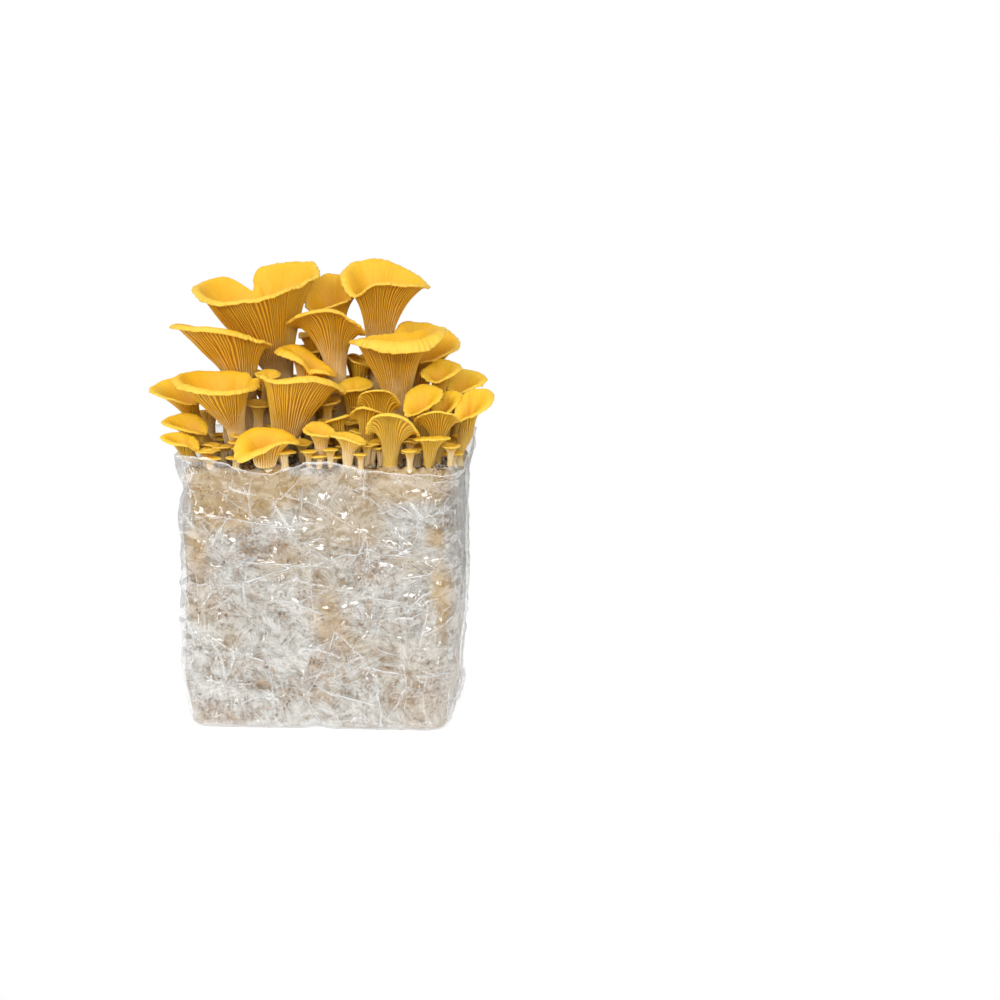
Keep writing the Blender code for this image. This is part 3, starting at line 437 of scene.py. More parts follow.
def mushroom_mesh(m):
    """One mushroom: up its stem, out along the gills, over the lip and down the throat.

    Returns its points, its faces and the attributes that its material reads.
    """
    size, seed = m["size"], zlib.crc32(m["name"].encode()) % 10000
    reach = np.mean(m["reach"])
    gills = max(FEWEST_GILLS, round(np.pi * reach / size["pitch"]))
    columns = 4 * gills
    turn = 2 * np.pi * np.arange(columns) / columns
    outward = level(turn)
    circle = outward[:, :2]

    stem = np.concatenate([[-1], np.linspace(0, 1, size["stem"] - 1, endpoint=False)])
    out = np.concatenate([np.linspace(0, 1, size["gills"], endpoint=False),
                          np.linspace(1, 2, size["lip_rows"] + 1)])
    back = 2 - 1.85 * np.linspace(0, 1, size["inside"] + 1)**1.15

    # Clean surfaces first, on columns that wander a little along the gills.
    where = beside(circle * (reach * (0.35 + out)[:, None, None]) / 4,
                   out[:, None, None] * reach / 5)
    drift = noise(where, seed) + 0.5 * noise(where * 2.3, seed + 5)
    wandering = turn + GILL_WANDER * drift * 2 * np.pi / columns
    outside = np.concatenate([stem_surface(m, turn, stem[:, None]),
                              cap_surface(m, wandering, out[:, None])])
    under = cap_surface(m, turn, back[:, None])
    away = grid_normals(under[::-1])[::-1]
    throat = np.array(m["neck"][:3]) + cap_axis(m) * m["neck"][3] * 0.6
    centre_side = np.sum(away[-1] * (under[-1] - np.array(m["neck"][:3])), axis=-1).mean()
    away = away * (1 if centre_side > 0 else -1)
    inner = under - away * flesh_thickness(m, back)[:, None, None]
    closing = np.where(back < 1, np.clip(1 - (back - 0.1) / 0.9, 0, 1)**3, 0)[:, None, None]
    inner = inner * (1 - closing) + throat * closing
    normal = grid_normals(outside)
    if np.sum(normal[0] * (outside[0] - outside[0].mean(0))) < 0:
        normal = -normal

    # Then gills, the stem's fibres and a broad swell in the flesh, along the normals.
    place = np.concatenate([np.maximum(stem, 0) - 1, out])
    spacing = np.linalg.norm(np.roll(outside, -1, axis=1) - outside, axis=-1)
    waves = gill_waves(gills, place, seed)
    shown = step(-0.75, 0.1, place) * (1 - step(1.45, 1.95, place))
    relief = np.minimum(GILL_RELIEF, STEEPEST * spacing.mean(1))[:, None] * shown[:, None] * waves
    fibre = noise(beside(outside[..., :2] / 1.6, outside[..., 2:] / 14), seed + 3)
    relief = relief + FIBRE_RELIEF * fibre * (1 - step(-0.3, 0.3, place))[:, None]
    relief = relief + SWELL * noise(outside / 13, seed + 9) * step(-1, 0.6, place)[:, None]
    outside = outside + normal * relief[..., None]
    lumps = noise(inner / 13, seed + 9) * SWELL
    streak = noise(beside(circle * reach / 1.7, back[:, None, None] * 1.5), seed + 21)
    wrinkle = STREAK_RELIEF * streak * step(0.2, 1.2, back)[:, None]
    inner = inner + away * (lumps + wrinkle)[..., None]

    # The rounded edge between the two sides.
    last, first = outside[-1], inner[0]
    middle, half = (last + first) / 2, (first - last) / 2
    beyond = unit(outside[-1] - outside[-3])
    bulge = np.linalg.norm(half, axis=-1)[:, None] * beyond
    edge = np.stack([middle - half * np.cos(a) + bulge * np.sin(a)
                     for a in np.radians((45, 90, 135))])
    rows = np.concatenate([outside, edge, inner])
    row_place = np.concatenate([place, [2, 2.05, 2], back])
    side = np.concatenate([0 * place, (0.25, 0.5, 0.75), 0 * back + 1])

    # The margin is scalloped: it moves in and out, up and down, most at the very lip.
    at_margin = step(0.72, 2.0, row_place)[:, None]
    ring = outward * reach
    scallop = SCALLOP * min(1, reach / 14)
    beads = round(2 * np.pi * reach / SCALLOP_LENGTH)
    beads = np.abs(np.sin(beads * turn / 2 + 1.6 * noise(ring / 9, seed + 29)))
    lobes = np.abs(noise(ring / 2.6, seed + 30))
    in_out = 0.65 * (beads - 0.65) + 1.0 * (0.35 - lobes) + 0.5 * noise(ring / 7, seed + 31)
    up_down = 1.0 * noise(ring / 8, seed + 33) + 0.5 * noise(ring / 2.4, seed + 34)
    rows = rows + scallop * (at_margin * in_out)[..., None] * outward
    rows = rows + scallop * 0.8 * (at_margin * up_down)[..., None] * UP

    points = np.concatenate([rows.reshape(-1, 3), throat[None], rows[:1].mean(1)])
    gill = np.concatenate([waves * 0.5 + 0.5, np.full((len(rows) - len(waves), columns), 0.5)])
    flow = beside(circle * reach, row_place[:, None, None] * reach).reshape(-1, 3)
    return points, closed_faces(len(rows), columns), {
        "gill": np.append(gill, (0.5, 0.5)),
        "place": np.append(np.repeat(row_place, columns), (0, 0)),
        "upper": np.append(np.repeat(side, columns), (1, 1)),
        "flow": np.pad(flow, [(0, 2), (0, 0)]),
    }


def mushroom(m, material):
    """The piece that stands for one of the solids."""
    points, faces, attributes = mushroom_mesh(m)
    piece = new_piece(m["name"] + "_flesh", points, faces, material, attributes)
    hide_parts(m["name"])


SPROUTS, SPROUT_SEED = 70, 23
# Taller ones seen between the large stems: x, y, the foot's radius, height and spread.
TALL_SPROUTS = (
    (-18, 49, 3.2, 80, 12), (-8.5, 56, 3.0, 50, 8), (11, 44, 2.8, 66, 8), (-43, 15, 3.2, 46, 8),
    (-27, 9, 3.6, 44, 8), (27, 3, 3.2, 34, 7), (-72, 30, 4.0, 40, 9), (43, 22, 3.6, 40, 8),
    (68, 24, 3.6, 44, 9), (70, 38, 4.0, 36, 8), (-60, 35, 3.0, 52, 8), (-2, 10, 3.0, 32, 6),
)
SPROUT_AREA = ((-84, -53), (90, 52))
SPROUT_HEIGHTS = (6, 13, 28)


def sprout_table():
    """Young mushrooms that fill the spaces between the stems, taller toward the middle."""
    rng = np.random.default_rng(SPROUT_SEED)
    feet = [m["foot"] for m in CLUSTER]
    table = []

    def add(spot, radius, height, spread):
        feet.append((*spot, radius))
        tilt = rng.uniform(-0.1, 0.1, 2) * height
        tall = height > 30
        table.append(grow(
            "sprout_%d" % len(table), SPROUT, foot=(*spot, radius),
            neck=(*(spot + tilt), FOOT_PLANE + (0.5 if tall else 0.72) * height, radius * 0.95),
            reach=tuple(spread * rng.uniform(0.8, 1.2, 8)),
            rim=tuple(FOOT_PLANE + height * rng.uniform(0.95, 1.05, 8)),
            flare=45 if tall else 30, curl=rng.uniform(80, 125)))

    for x, y, radius, height, spread in TALL_SPROUTS:
        add(np.array((x, y)), radius, height, spread)
    for _ in range(40 * SPROUTS):
        spot = rng.uniform(*SPROUT_AREA)
        room = min(np.hypot(spot[0] - x, spot[1] - y) - radius for x, y, radius in feet)
        inward = 1 - max(abs(spot[0] - 3) / 93, abs(spot[1]) / 58)
        radius = rng.uniform(2.0, 3.4)
        if room < radius + 0.6 or len(table) == SPROUTS + len(TALL_SPROUTS):
            continue
        low, high, most = SPROUT_HEIGHTS
        height = rng.uniform(low, high) + (most - high) * rng.uniform(0.3, 1) * step(0.1, 0.5, inward)
        add(spot, radius, height, min(radius + rng.uniform(1.0, 2.2) + 0.06 * height, room + 1.5))
    return table


def sprouts(material):
    """All the sprouts, joined in one piece."""
    points, faces, fields, first = [], [], [], 0
    for m in sprout_table():
        more_points, more_faces, more_fields = mushroom_mesh(m)
        points.append(more_points)
        faces += [[first + corner for corner in face] for face in more_faces]
        fields.append(more_fields)
        first += len(more_points)
    attributes = {title: np.concatenate([one[title] for one in fields]) for title in fields[0]}
    piece = new_piece("sprouts_between_stems", np.concatenate(points), faces, material, attributes)


# ------------ bag and block

LONG_SIDE, CORNER, SHORT_SIDE = 126, 10, 56
WALL_ROWS, RIM_ROWS, FLOOR_ROWS = 88, 12, 4
BLOCK_ROWS, LID_ROWS = 84, 46
FILM_THICK = 0.25
# The film's folds: their longest and shortest wavelength, how many sets of them there are,
# and the shortest that shows its crest as a line.
WAVELENGTHS = (52, 8, 18)
SHORTEST_LINE = 15
FAR = 50.0  # from any fold or crease
RIM_BEAD = 0.7
DENT, DENT_X, DENT_WIDTH = 3.2, -3, 6

# Long creases on the front of the film: from x, z to x, z, then height and width.
CREASES = (
    (-71, 149, -18, 143, 1.7, 1.8), (-18, 143, 6, 147, 1.0, 1.8), (-52, 119, -6, 117, 1.3, 1.6),
    (-6, 117, 14, 122, 0.9, 1.8), (-76, 142, -66, 122, 1.4, 1.6), (-66, 140, -58, 131, 1.2, 1.4),
    (36, 138, 58, 126, 1.5, 1.6), (48, 150, 60, 128, 1.4, 1.5), (30, 128, 62, 122, 1.6, 1.5),
    (58, 108, 82, 112, 1.5, 1.6), (40, 60, 52, 55, 1.2, 1.6), (-30, 96, 2, 84, 0.9, 1.6),
    (20, 100, 54, 92, 1.0, 1.8), (-64, 34, -28, 22, 1.0, 1.8), (2, 30, 36, 20, 1.0, 1.8),
    (-78, 66, -60, 57, 1.6, 2.4), (-60, 57, -38, 50, 0.8, 2.5), (44, 132, 80, 118, 1.8, 3.0),
    (52, 124, 66, 131, 1.4, 2.2), (54, 160, 72, 148, 1.5, 2.6), (-96, 160, -74, 128, 1.2, 3.0),
    (-74, 128, -60, 150, 0.8, 2.5), (6, 120, 30, 126, 1.0, 2.2), (38, 76, 72, 84, 1.3, 2.6),
    (64, 92, 84, 103, 1.3, 2.4), (30, 46, 62, 40, 1.0, 2.6), (62, 40, 96, 45, 1.0, 3.0),
    (-50, 104, -10, 118, 0.9, 2.6), (-6, 24, 0, 0, 1.6, 4.0), (8, 60, 14, 84, 0.9, 2.2),
    (-92, 96, -84, 58, 1.0, 3.2),
)


def outline(left, right, half_depth, corner):
    """A rounded rectangle, counter-clockwise from the back end of its right side."""
    corners = (
        (right - corner, half_depth - corner, 0),
        (left + corner, half_depth - corner, 90),
        (left + corner, corner - half_depth, 180),
        (right - corner, corner - half_depth, 270),
    )
    arcs = []
    for x, y, start in corners:
        turns = np.radians(start + np.linspace(0, 90, CORNER + 1))
        arcs.append(np.stack([x + corner * np.cos(turns), y + corner * np.sin(turns)], axis=-1))
    points = []
    for k, steps in enumerate((LONG_SIDE, SHORT_SIDE, LONG_SIDE, SHORT_SIDE)):
        here, after = arcs[k][-1], arcs[(k + 1) % 4][0]
        points += [arcs[k], here + (after - here) * (np.arange(1, steps) / steps)[:, None]]
    return np.concatenate(points)


def bag_section(row, inset=0.0):
    """The outline of the filled bag for one row of insets, moved in by inset."""
    left, right, depth, corner = row
    return outline(BAG_LEFT + left + inset, BAG_RIGHT - right - inset,
                   BAG_HALF_DEPTH - depth - inset, corner - inset)


def insets_at(height):
    """SECTIONS read at any height, smoothly from row to row."""
    heights, values = SECTIONS[:, 0], SECTIONS[:, 1:]
    slopes = np.gradient(values, heights, axis=0)
    k = int(np.clip(np.searchsorted(heights, height) - 1, 0, len(heights) - 2))
    span = heights[k + 1] - heights[k]
    t = np.clip((height - heights[k]) / span, 0, 1)
    return ((2 * t**3 - 3 * t**2 + 1) * values[k] + (t**3 - 2 * t**2 + t) * span * slopes[k]
            + (3 * t**2 - 2 * t**3) * values[k + 1] + (t**3 - t**2) * span * slopes[k + 1])


def rim_heights():
    """The rim's height at each column of the mouth."""
    points = bag_section(MOUTH)
    steps = np.linalg.norm(np.roll(points, -1, axis=0) - points, axis=-1)
    from_middle = BAG_HALF_DEPTH - MOUTH[3] + np.concatenate([[0], np.cumsum(steps)[:-1]])
    turn = from_middle / steps.sum() * 2 * np.pi
    torn = level(turn) * steps.sum() / (2 * np.pi)
    return around(RIM_HEIGHTS, turn) + 0.9 * noise(torn / 7, 3) + 0.35 * noise(torn / 2.2, 4)


def with_height(points, height):
    return beside(points, np.reshape(height, (-1, 1)))


def sideways(surface):
    """At each point of the bag's wall, the level direction out of the bag."""
    across = np.roll(surface, -1, axis=1) - np.roll(surface, 1, axis=1)
    return unit(np.stack([across[..., 1], -across[..., 0], 0 * across[..., 0]], axis=-1))


def billows(points):
    """The broad lumps that the block and the film over it share."""
    return 1.3 * noise(points / 42, 61) + 0.8 * noise(points / 21, 62)


def nearer(distance, other, where):
    """distance, or other where that is smaller and where allows it."""
    return np.where(where & (np.abs(other) < np.abs(distance)), other, distance)


def crumple(points, seed):
    """Folds of crumpled film: sharp-crested waves in many directions, each in patches.

    Returns the height and the signed distance to the nearest long crest.
    """
    rng = np.random.default_rng(seed)
    bend = np.stack([noise(points / 26, seed + k) for k in (1, 2, 3)], axis=-1)
    points_bent = points + 7 * bend
    total, fold = 0, np.full(points.shape[:-1], FAR)
    for k, wavelength in enumerate(np.geomspace(*WAVELENGTHS)):
        direction = unit(rng.normal(size=3) * (0.8, 0.8, 1.15))
        place = points_bent @ direction / wavelength + rng.uniform()
        crest = 1 - np.abs((place % 1) * 2 - 1)
        patch = step(-0.15, 0.55, noise(points / (1.3 * wavelength), seed + 40 + k))
        total = total + 0.085 * wavelength**0.75 * patch * (crest**2.2 - 0.2)
        if wavelength > SHORTEST_LINE:
            fold = nearer(fold, (place % 1 - 0.5) * wavelength, patch > 0.4)
    return total, fold


def dent(points):
    """How far the folded bottom edge is drawn up in the middle of the front."""
    x, y, z = np.moveaxis(points, -1, 0)
    return DENT * np.exp(-((x - DENT_X) / DENT_WIDTH)**2) * step(-36, -57, y) * step(26, 3, z)


def crease(points):
    """The listed creases on the front: their height and the signed distance to them."""
    total, line = 0, np.full(points.shape[:-1], FAR)
    on_front = step(-30, -52, points[..., 1])
    place = points[..., ::2] + 2.2 * np.stack([noise(points / 9, 71), noise(points / 9, 72)], -1)
    for x0, z0, x1, z1, height, width in CREASES:
        start, along = np.array((x0, z0)), np.array((x1 - x0, z1 - z0))
        t = np.clip(((place - start) @ along) / (along @ along), 0, 1)
        off = np.linalg.norm(place - start - t[..., None] * along, axis=-1)
        total = total + height * on_front * np.exp(-off / width) * (1 - 0.6 * np.abs(2 * t - 1)**4)
        side = np.sign((place - start) @ np.array((-along[1], along[0])))
        line = nearer(line, side * off, on_front > 0.5)
    return total, line


def film_walls():
    """The film's outer surface as rows of points, from the floor up to the rim."""
    heights = np.concatenate([[0, 0.4, 1, 2], np.linspace(3.2, FILLED, WALL_ROWS)])
    rows = [with_height(bag_section(insets_at(h)), h) for h in heights]
    top, rise = insets_at(FILLED), rim_heights() - FILLED
    for f in np.arange(1, RIM_ROWS + 1) / RIM_ROWS:
        rows.append(with_height(bag_section(top + (MOUTH - top) * f), FILLED + rise * f))
    return np.array(rows)


def film(material):
    """The film as a closed shell: up its outside, over the rim and down its inside."""
    base = film_walls()
    out = sideways(base)
    height = base[..., 2]
    flat = 1 - 0.65 * np.abs(2 * out[..., 0] * out[..., 1])
    broad, fold = crumple(base, 5)
    placed, line = crease(base)
    folds = (broad + 0.45 * crumple(base * 2.1, 9)[0]) * flat + placed
    loose = step(171, 190, height)
    waves = 1.6 * noise(base * (1 / 17, 1 / 17, 1 / 40), 81) + 0.9 * noise(base / 8, 82)
    move = billows(base) * (1 - loose) + folds * (1 - 0.35 * loose) + loose * (waves + 0.7)
    move = np.maximum(move, -0.9 + 0.25 * move) * step(0, 7, height)
    outer = base + out * move[..., None]
    outer[..., 2] += 0.6 * noise(base / 11, 83) * step(3, 12, height) * (1 - loose) + dent(base)
    bead = RIM_BEAD * step(0.93, 1.0, (height - FILLED) / (height[-1] - FILLED))
    inner = outer - out * (FILM_THICK + bead)[..., None]
    inner[..., 2] = np.maximum(inner[..., 2], FILM_THICK)
    outer = outer + out * (0.2 * bead)[..., None]
    lip = (outer[-1] + inner[-1]) / 2 + UP * 0.25

    centre = outer[0].mean(0)
    shrink = np.linspace(1, 0, FLOOR_ROWS + 1)[1:-1]
    under = [centre + (outer[0] - centre) * f for f in shrink]
    above = [centre + (inner[0] - centre) * f for f in shrink[::-1]]
    rows = np.array([*under[::-1], *outer, lip, *inner[::-1], *above[::-1]])
    count, columns = rows.shape[:2]
    low = centre * (1, 1, 0)
    points = np.concatenate([rows.reshape(-1, 3), [low + UP * FILM_THICK, low]])
    rim_line = np.zeros(count)
    middle = len(under) + len(outer)
    rim_line[middle - 2:middle + 3] = (0.4, 1, 1, 1, 0.4)
    attributes = {"rim": np.append(np.repeat(rim_line, columns), (0, 0))}
    for title, distance in (("fold", fold), ("line", line)):
        shown = np.full((count, columns), FAR)
        shown[len(under):middle] = distance
        shown[middle + 1:middle + 1 + len(outer)] = distance[::-1]
        attributes[title] = np.append(shown, (FAR, FAR))
    piece = new_piece("bag_film", points, closed_faces(count, columns), material, attributes)
    piece.visible_shadow = False
    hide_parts("plastic_bag")


# Patches on the front of the block: x, z, half width, half height, then how bare of
# mycelium it is and how yellow.
PATCHES = (
    (-50, 161, 40, 17, 0.35, 0.9), (-62, 150, 22, 12, 0.45, 1.0), (-38, 172, 60, 11, 0.35, 1.1),
    (52, 168, 34, 10, 0.40, 0.8), (8, 160, 30, 14, 0.25, 0.5), (30, 150, 22, 14, 0.30, 0.6),
    (-45, 126, 20, 13, 0.75, 0.2), (34, 115, 19, 12, 1.00, 0.1), (9, 73, 14, 25, 0.80, 0.9),
    (4, 50, 10, 8, 0.95, 0.3), (-51, 48, 24, 9, 0.75, 0.1), (-50, 35, 30, 14, 0.55, 0.3),
    (70, 20, 28, 22, 0.70, 0.5), (72, 34, 24, 9, 0.85, 0.3), (-72, 9, 26, 9, 0.85, 0.4),
    (-86, 126, 10, 20, 0.40, 0.9), (-78, 96, 14, 20, 0.60, 0.5), (80, 137, 9, 8, 0.70, 1.0),
    (84, 96, 10, 34, 0.30, 0.9), (-10, 33, 22, 9, 0.70, 0.2), (-30, 92, 24, 12, 0.45, 0.3),
    (36, 88, 20, 16, 0.55, 0.2), (18, 12, 40, 8, 0.40, 0.3),
)
CRUMBS, CRUMB_SEED = 2000, 7
CRUMB_SIZES = (0.45, 1.25)
MOUND = 3.2
# The rounded edge of the block's top: how far below the top each row is, and how far in.
BLOCK_SHOULDER = ((5.2, 0.2), (3.6, 0.6), (2.2, 1.4), (1.0, 2.6), (0.3, 4.2))


def block(material):
    """The block of substrate, lumpy under the film and on top, with crumbs between the stems."""
    heights = np.concatenate([[BLOCK_BOTTOM], np.linspace(3, FILLED, BLOCK_ROWS)])
    rows = [with_height(bag_section(insets_at(h), FILM_SPACE), h) for h in heights]
    for drop, more in BLOCK_SHOULDER:
        rows.append(with_height(bag_section(insets_at(FILLED), FILM_SPACE + more),
                                BLOCK_TOP - drop))
    side = np.array(rows)
    out = sideways(side)
    lumps = 0.9 * rough_noise(side / 9, 91) - 0.7 + 0.35 * noise(side / 2.6, 92)
    move = np.minimum(billows(side), 1.2) + np.minimum(lumps, 0.6)
    move = move * step(1, 9, side[..., 2])
    side = side + out * move[..., None] + UP * dent(side)[..., None]

    centre = side[-1].mean(0)
    lid = np.array([centre + (side[-1] - centre) * f for f in np.linspace(1, 0, LID_ROWS)[1:-1]])
    edge = len(BLOCK_SHOULDER)
    on_top = np.concatenate([side[-edge:], lid])
    raised = 1.5 * rough_noise(on_top / 12, 95) + 0.55 * rough_noise(on_top / 3.2, 97) + 0.8
    for x, y, radius in (m["foot"] for m in CLUSTER):
        off = np.hypot(on_top[..., 0] - x, on_top[..., 1] - y)
        raised = np.maximum(raised, MOUND * np.exp(-(np.maximum(off - radius, 0) / 3.5)**2)
                            * (1 + 0.5 * noise(on_top / 4, 98)))
    raised = raised * step(-2, 4, np.arange(len(on_top)))[:, None]
    rows = np.concatenate([side[:-edge], on_top + UP * raised[..., None]])
    points = np.concatenate([rows.reshape(-1, 3), [centre + UP * 0.8, side[0].mean(0)]])

    bare = 0.36 + 0.50 * rough_noise(points / 22, 101, 2)
    yellow = 0.26 + 0.55 * noise(points / 30, 103)
    front = step(-30, -54, points[:, 1])
    wander = points + 4 * np.stack([noise(points / 8, 104 + k) for k in range(3)], axis=-1)
    for x, z, half_width, half_height, patch_bare, patch_yellow in PATCHES:
        off = ((wander[:, 0] - x) / half_width)**2 + ((wander[:, 2] - z) / half_height)**2
        weight = front * np.exp(-off**1.3)
        bare = bare * (1 - weight) + patch_bare * weight
        yellow = yellow * (1 - weight) + patch_yellow * weight

    crumb_points, crumb_faces = crumbs(rows[-len(lid):], len(points))
    pad = (0, len(crumb_points))
    attributes = {
        "bare": np.pad(bare, pad, constant_values=1),
        "yellow": np.pad(yellow, pad, constant_values=0.3),
        "crumb": np.pad(0 * bare, pad, constant_values=1),
    }
    piece = new_piece("block_mycelium", np.concatenate([points, crumb_points]),
                      closed_faces(*rows.shape[:2]) + crumb_faces, material, attributes)
    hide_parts("substrate_block")


def crumbs(lid, first):
    """Small dark crumbs of substrate, half sunk in the block's top."""
    rng = np.random.default_rng(CRUMB_SEED)
    corners = np.array([(1, 0, 0), (0, 1, 0), (-1, 0, 0), (0, -1, 0), (0, 0, 1), (0, 0, -1)])
    shape = [(0, 1, 4), (1, 2, 4), (2, 3, 4), (3, 0, 4), (1, 0, 5), (2, 1, 5), (3, 2, 5), (0, 3, 5)]
    points, faces = [], []
    for k in range(CRUMBS):
        ring = int(len(lid) * rng.uniform(0, 0.75)**1.5)
        seat = lid[ring, rng.integers(lid.shape[1])]
        size = rng.uniform(*CRUMB_SIZES) * rng.uniform(0.5, 1.3, 3)
        turn = np.array(Matrix.Rotation(rng.uniform(0, 6.3), 3, rng.normal(size=3).tolist()))
        points.append((corners * size * (1 + rng.uniform(-0.2, 0.2, (6, 1)))) @ turn + seat)
        faces += [[first + 6 * k + i for i in face] for face in shape]
    return np.concatenate(points), faces


# ------------ materials

class Nodes:
    """The node tree of one material, and the nodes that are added to it."""

    def __init__(self, title):
        self.material = bpy.data.materials.new(title)
        self.material.use_nodes = True
        self.tree = self.material.node_tree
        self.shader = self.tree.nodes["Principled BSDF"]

    def fill(self, sockets, values):
        """Give each named socket its value, or link it to another node's output."""
        for place, value in values.items():
            if isinstance(value, bpy.types.NodeSocket):
                self.tree.links.new(value, sockets[place])
            else:
                sockets[place].default_value = value

    def node(self, kind, inputs=(), **settings):
        """The outputs of a new shader node."""
        made = self.tree.nodes.new("ShaderNode" + kind)
        for key, value in settings.items():
            setattr(made, key, value)
        self.fill(made.inputs, dict(inputs))
        return made.outputs

    def look(self, **values):
        """Set the Principled shader's inputs, named with underscores for spaces."""
        self.fill(self.shader.inputs, {key.replace("_", " "): v for key, v in values.items()})

    def surface(self, shader):
        """Show another shader in place of the Principled one."""
        self.tree.nodes.remove(self.shader)
        self.fill(self.tree.nodes["Material Output"].inputs, {"Surface": shader})

    def fields(self, *titles):
        """The numbers of the mesh's attributes."""
        return [self.node("Attribute", attribute_name=title)["Fac"] for title in titles]

    def position(self):
        return self.node("TexCoord")["Object"]

    def maths(self, operation, a, b=0.0):
        return self.node("Math", {0: a, 1: b}, operation=operation)[0]

    def plus(self, *terms):
        return functools.reduce(lambda a, b: self.maths("ADD", a, b), terms)

    def times(self, *factors):
        return functools.reduce(lambda a, b: self.maths("MULTIPLY", a, b), factors)

    def span(self, value, low, high, to_low=0.0, to_high=1.0):
        """value read smoothly from low..high onto to_low..to_high."""
        return self.node("MapRange", {"Value": value, "From Min": low, "From Max": high,
                                      "To Min": to_low, "To Max": to_high},
                         interpolation_type="SMOOTHSTEP")["Result"]

    def mixed(self, a, b, factor):
        """Colour a turned to b by factor."""
        a, b = (c if isinstance(c, bpy.types.NodeSocket) else (*c, 1) for c in (a, b))
        return self.node("Mix", {0: factor, 6: a, 7: b}, data_type="RGBA")[2]

    def blend(self, a, b, value, low, high, most=1.0):
        """Colour a, turned to b by as much as most while value goes from low to high."""
        return self.mixed(a, b, self.span(value, low, high, 0.0, most))

    def stretched(self, vector, scale):
        return self.node("VectorMath", {0: vector, 1: scale}, operation="MULTIPLY")[0]

    def grain(self, vector, scale, detail=3.0, roughness=0.55, distortion=0.0):
        """Noise from 0 to 1, about a half."""
        return self.node("TexNoise", {"Vector": vector, "Scale": scale, "Detail": detail,
                                      "Roughness": roughness, "Distortion": distortion})["Fac"]

    def bent(self, vector, scale, detail, amount):
        """vector, moved about by noise."""
        warp = self.node("TexNoise", {"Vector": vector, "Scale": scale, "Detail": detail})
        return self.node("VectorMath", {0: warp["Color"], 1: (amount,) * 3, 2: vector},
                         operation="MULTIPLY_ADD")[0]

    def cells(self, vector, scale, channel):
        """Each cell's distance from its middle, and a random number for the whole cell."""
        cell = self.node("TexVoronoi", {"Vector": vector, "Scale": scale})
        return cell["Distance"], self.node("SeparateColor", {0: cell["Color"]})[channel]

    def bump(self, height, strength, distance):
        return self.node("Bump", {"Height": height, "Strength": strength,
                                  "Distance": distance})["Normal"]


def mushroom_material(title, look):
    """Flesh that is streaked from the throat outward above, and grooved by gills below, with painted
    shade in the grooves.
    """
    n = Nodes(title)
    gill, place, upper = n.fields("gill", "place", "upper")
    flow = n.node("Attribute", attribute_name="flow")["Vector"]
    position = n.position()
    blotch = n.grain(position, 95)
    fleck = n.grain(position, 900, 2)
    streak = n.grain(n.stretched(flow, (1.1, 1.1, 0.10)), 1.0, 4, 0.6, 0.15)
    fine_streak = n.grain(n.stretched(flow, (3.4, 3.4, 0.22)), 1.0)

    # The gill side, from the stem up to the lip.
    rise = n.plus(place, n.span(blotch, 0.3, 0.7, -0.12, 0.12))
    crest = n.blend(look["stem"], look["gill"], rise, -0.05, 0.75)
    # Painted shade: the grooves between the gills are given a darker colour than the gills' edges.
    groove_shade = n.blend(look["stem_groove_shade"], look["groove_shade"], rise, -0.20, 0.55)
    below = n.blend(groove_shade, crest, gill, 0.22, 0.85)
    below = n.blend(below, look["shoulder"], place, 0.85, 1.6, 0.8)
    below = n.blend(below, look["shade"], streak, 0.42, 0.75, 0.45)
    below = n.blend(below, look["foot"], place, -0.72, -0.98, 0.75)

    # The upper side, from the throat out.
    above = n.blend(look["throat"], look["upper"], place, 0.15, 1.2)
    above = n.blend(above, look["streak"], streak, 0.45, 0.72, 0.55)
    above = n.blend(above, look["pale"], fine_streak, 0.48, 0.75, 0.45)
    above = n.blend(above, look["upper_deep"], blotch, 0.5, 0.75, 0.3)

    colour = n.mixed(below, above, upper)
    margin = n.plus(place, n.span(fine_streak, 0.3, 0.7, -0.2, 0.2))
    colour = n.blend(colour, look["lip"], margin, 1.25, 1.9, look["lip_share"])
    colour = n.blend(colour, look["fleck"], fleck, 0.58, 0.76, 0.34)
    rough = n.span(fine_streak, 0.3, 0.7, look["rough"] - 0.08, look["rough"] + 0.08)
    gills = n.times(gill, n.maths("SUBTRACT", 1.0, upper), n.span(place, 1.95, 1.5),
                    n.span(place, -0.5, 0.2, 0.25, 1.0))
    skin = n.plus(n.times(fine_streak, 0.28), n.times(fleck, 0.10))
    n.look(Base_Color=colour, Roughness=rough, Specular_IOR_Level=0.35,
           Subsurface_Weight=look["glow"], Subsurface_Radius=SCATTER,
           Subsurface_Scale=SCATTER_DEPTH, Normal=n.bump(n.plus(gills, skin), 0.65, 0.0006))
    return n.material


SCATTER, SCATTER_DEPTH = (1.0, 0.45, 0.12), 0.0022
# In each look the two groove colours are painted shade: darker colours given to the grooves between the
# gills.
GOLDEN = dict(
    stem=(0.97, 0.79, 0.43), stem_groove_shade=(0.87, 0.61, 0.26),
    gill=(0.86, 0.49, 0.034), groove_shade=(0.41, 0.160, 0.005),
    shoulder=(0.90, 0.56, 0.035), shade=(0.66, 0.34, 0.02), foot=(0.90, 0.84, 0.70),
    throat=(0.72, 0.33, 0.008), upper=(0.89, 0.515, 0.020), upper_deep=(0.85, 0.44, 0.010),
    streak=(0.79, 0.40, 0.008), pale=(0.95, 0.66, 0.08), lip=(0.94, 0.66, 0.12),
    lip_share=0.42, fleck=(0.58, 0.30, 0.02), rough=0.52, glow=0.12,
)
RIPE = dict(
    GOLDEN, stem=(0.64, 0.43, 0.09), stem_groove_shade=(0.50, 0.29, 0.045),
    gill=(0.80, 0.49, 0.034), groove_shade=(0.42, 0.19, 0.006), foot=(0.84, 0.71, 0.44),
    upper=(0.91, 0.58, 0.030),
)
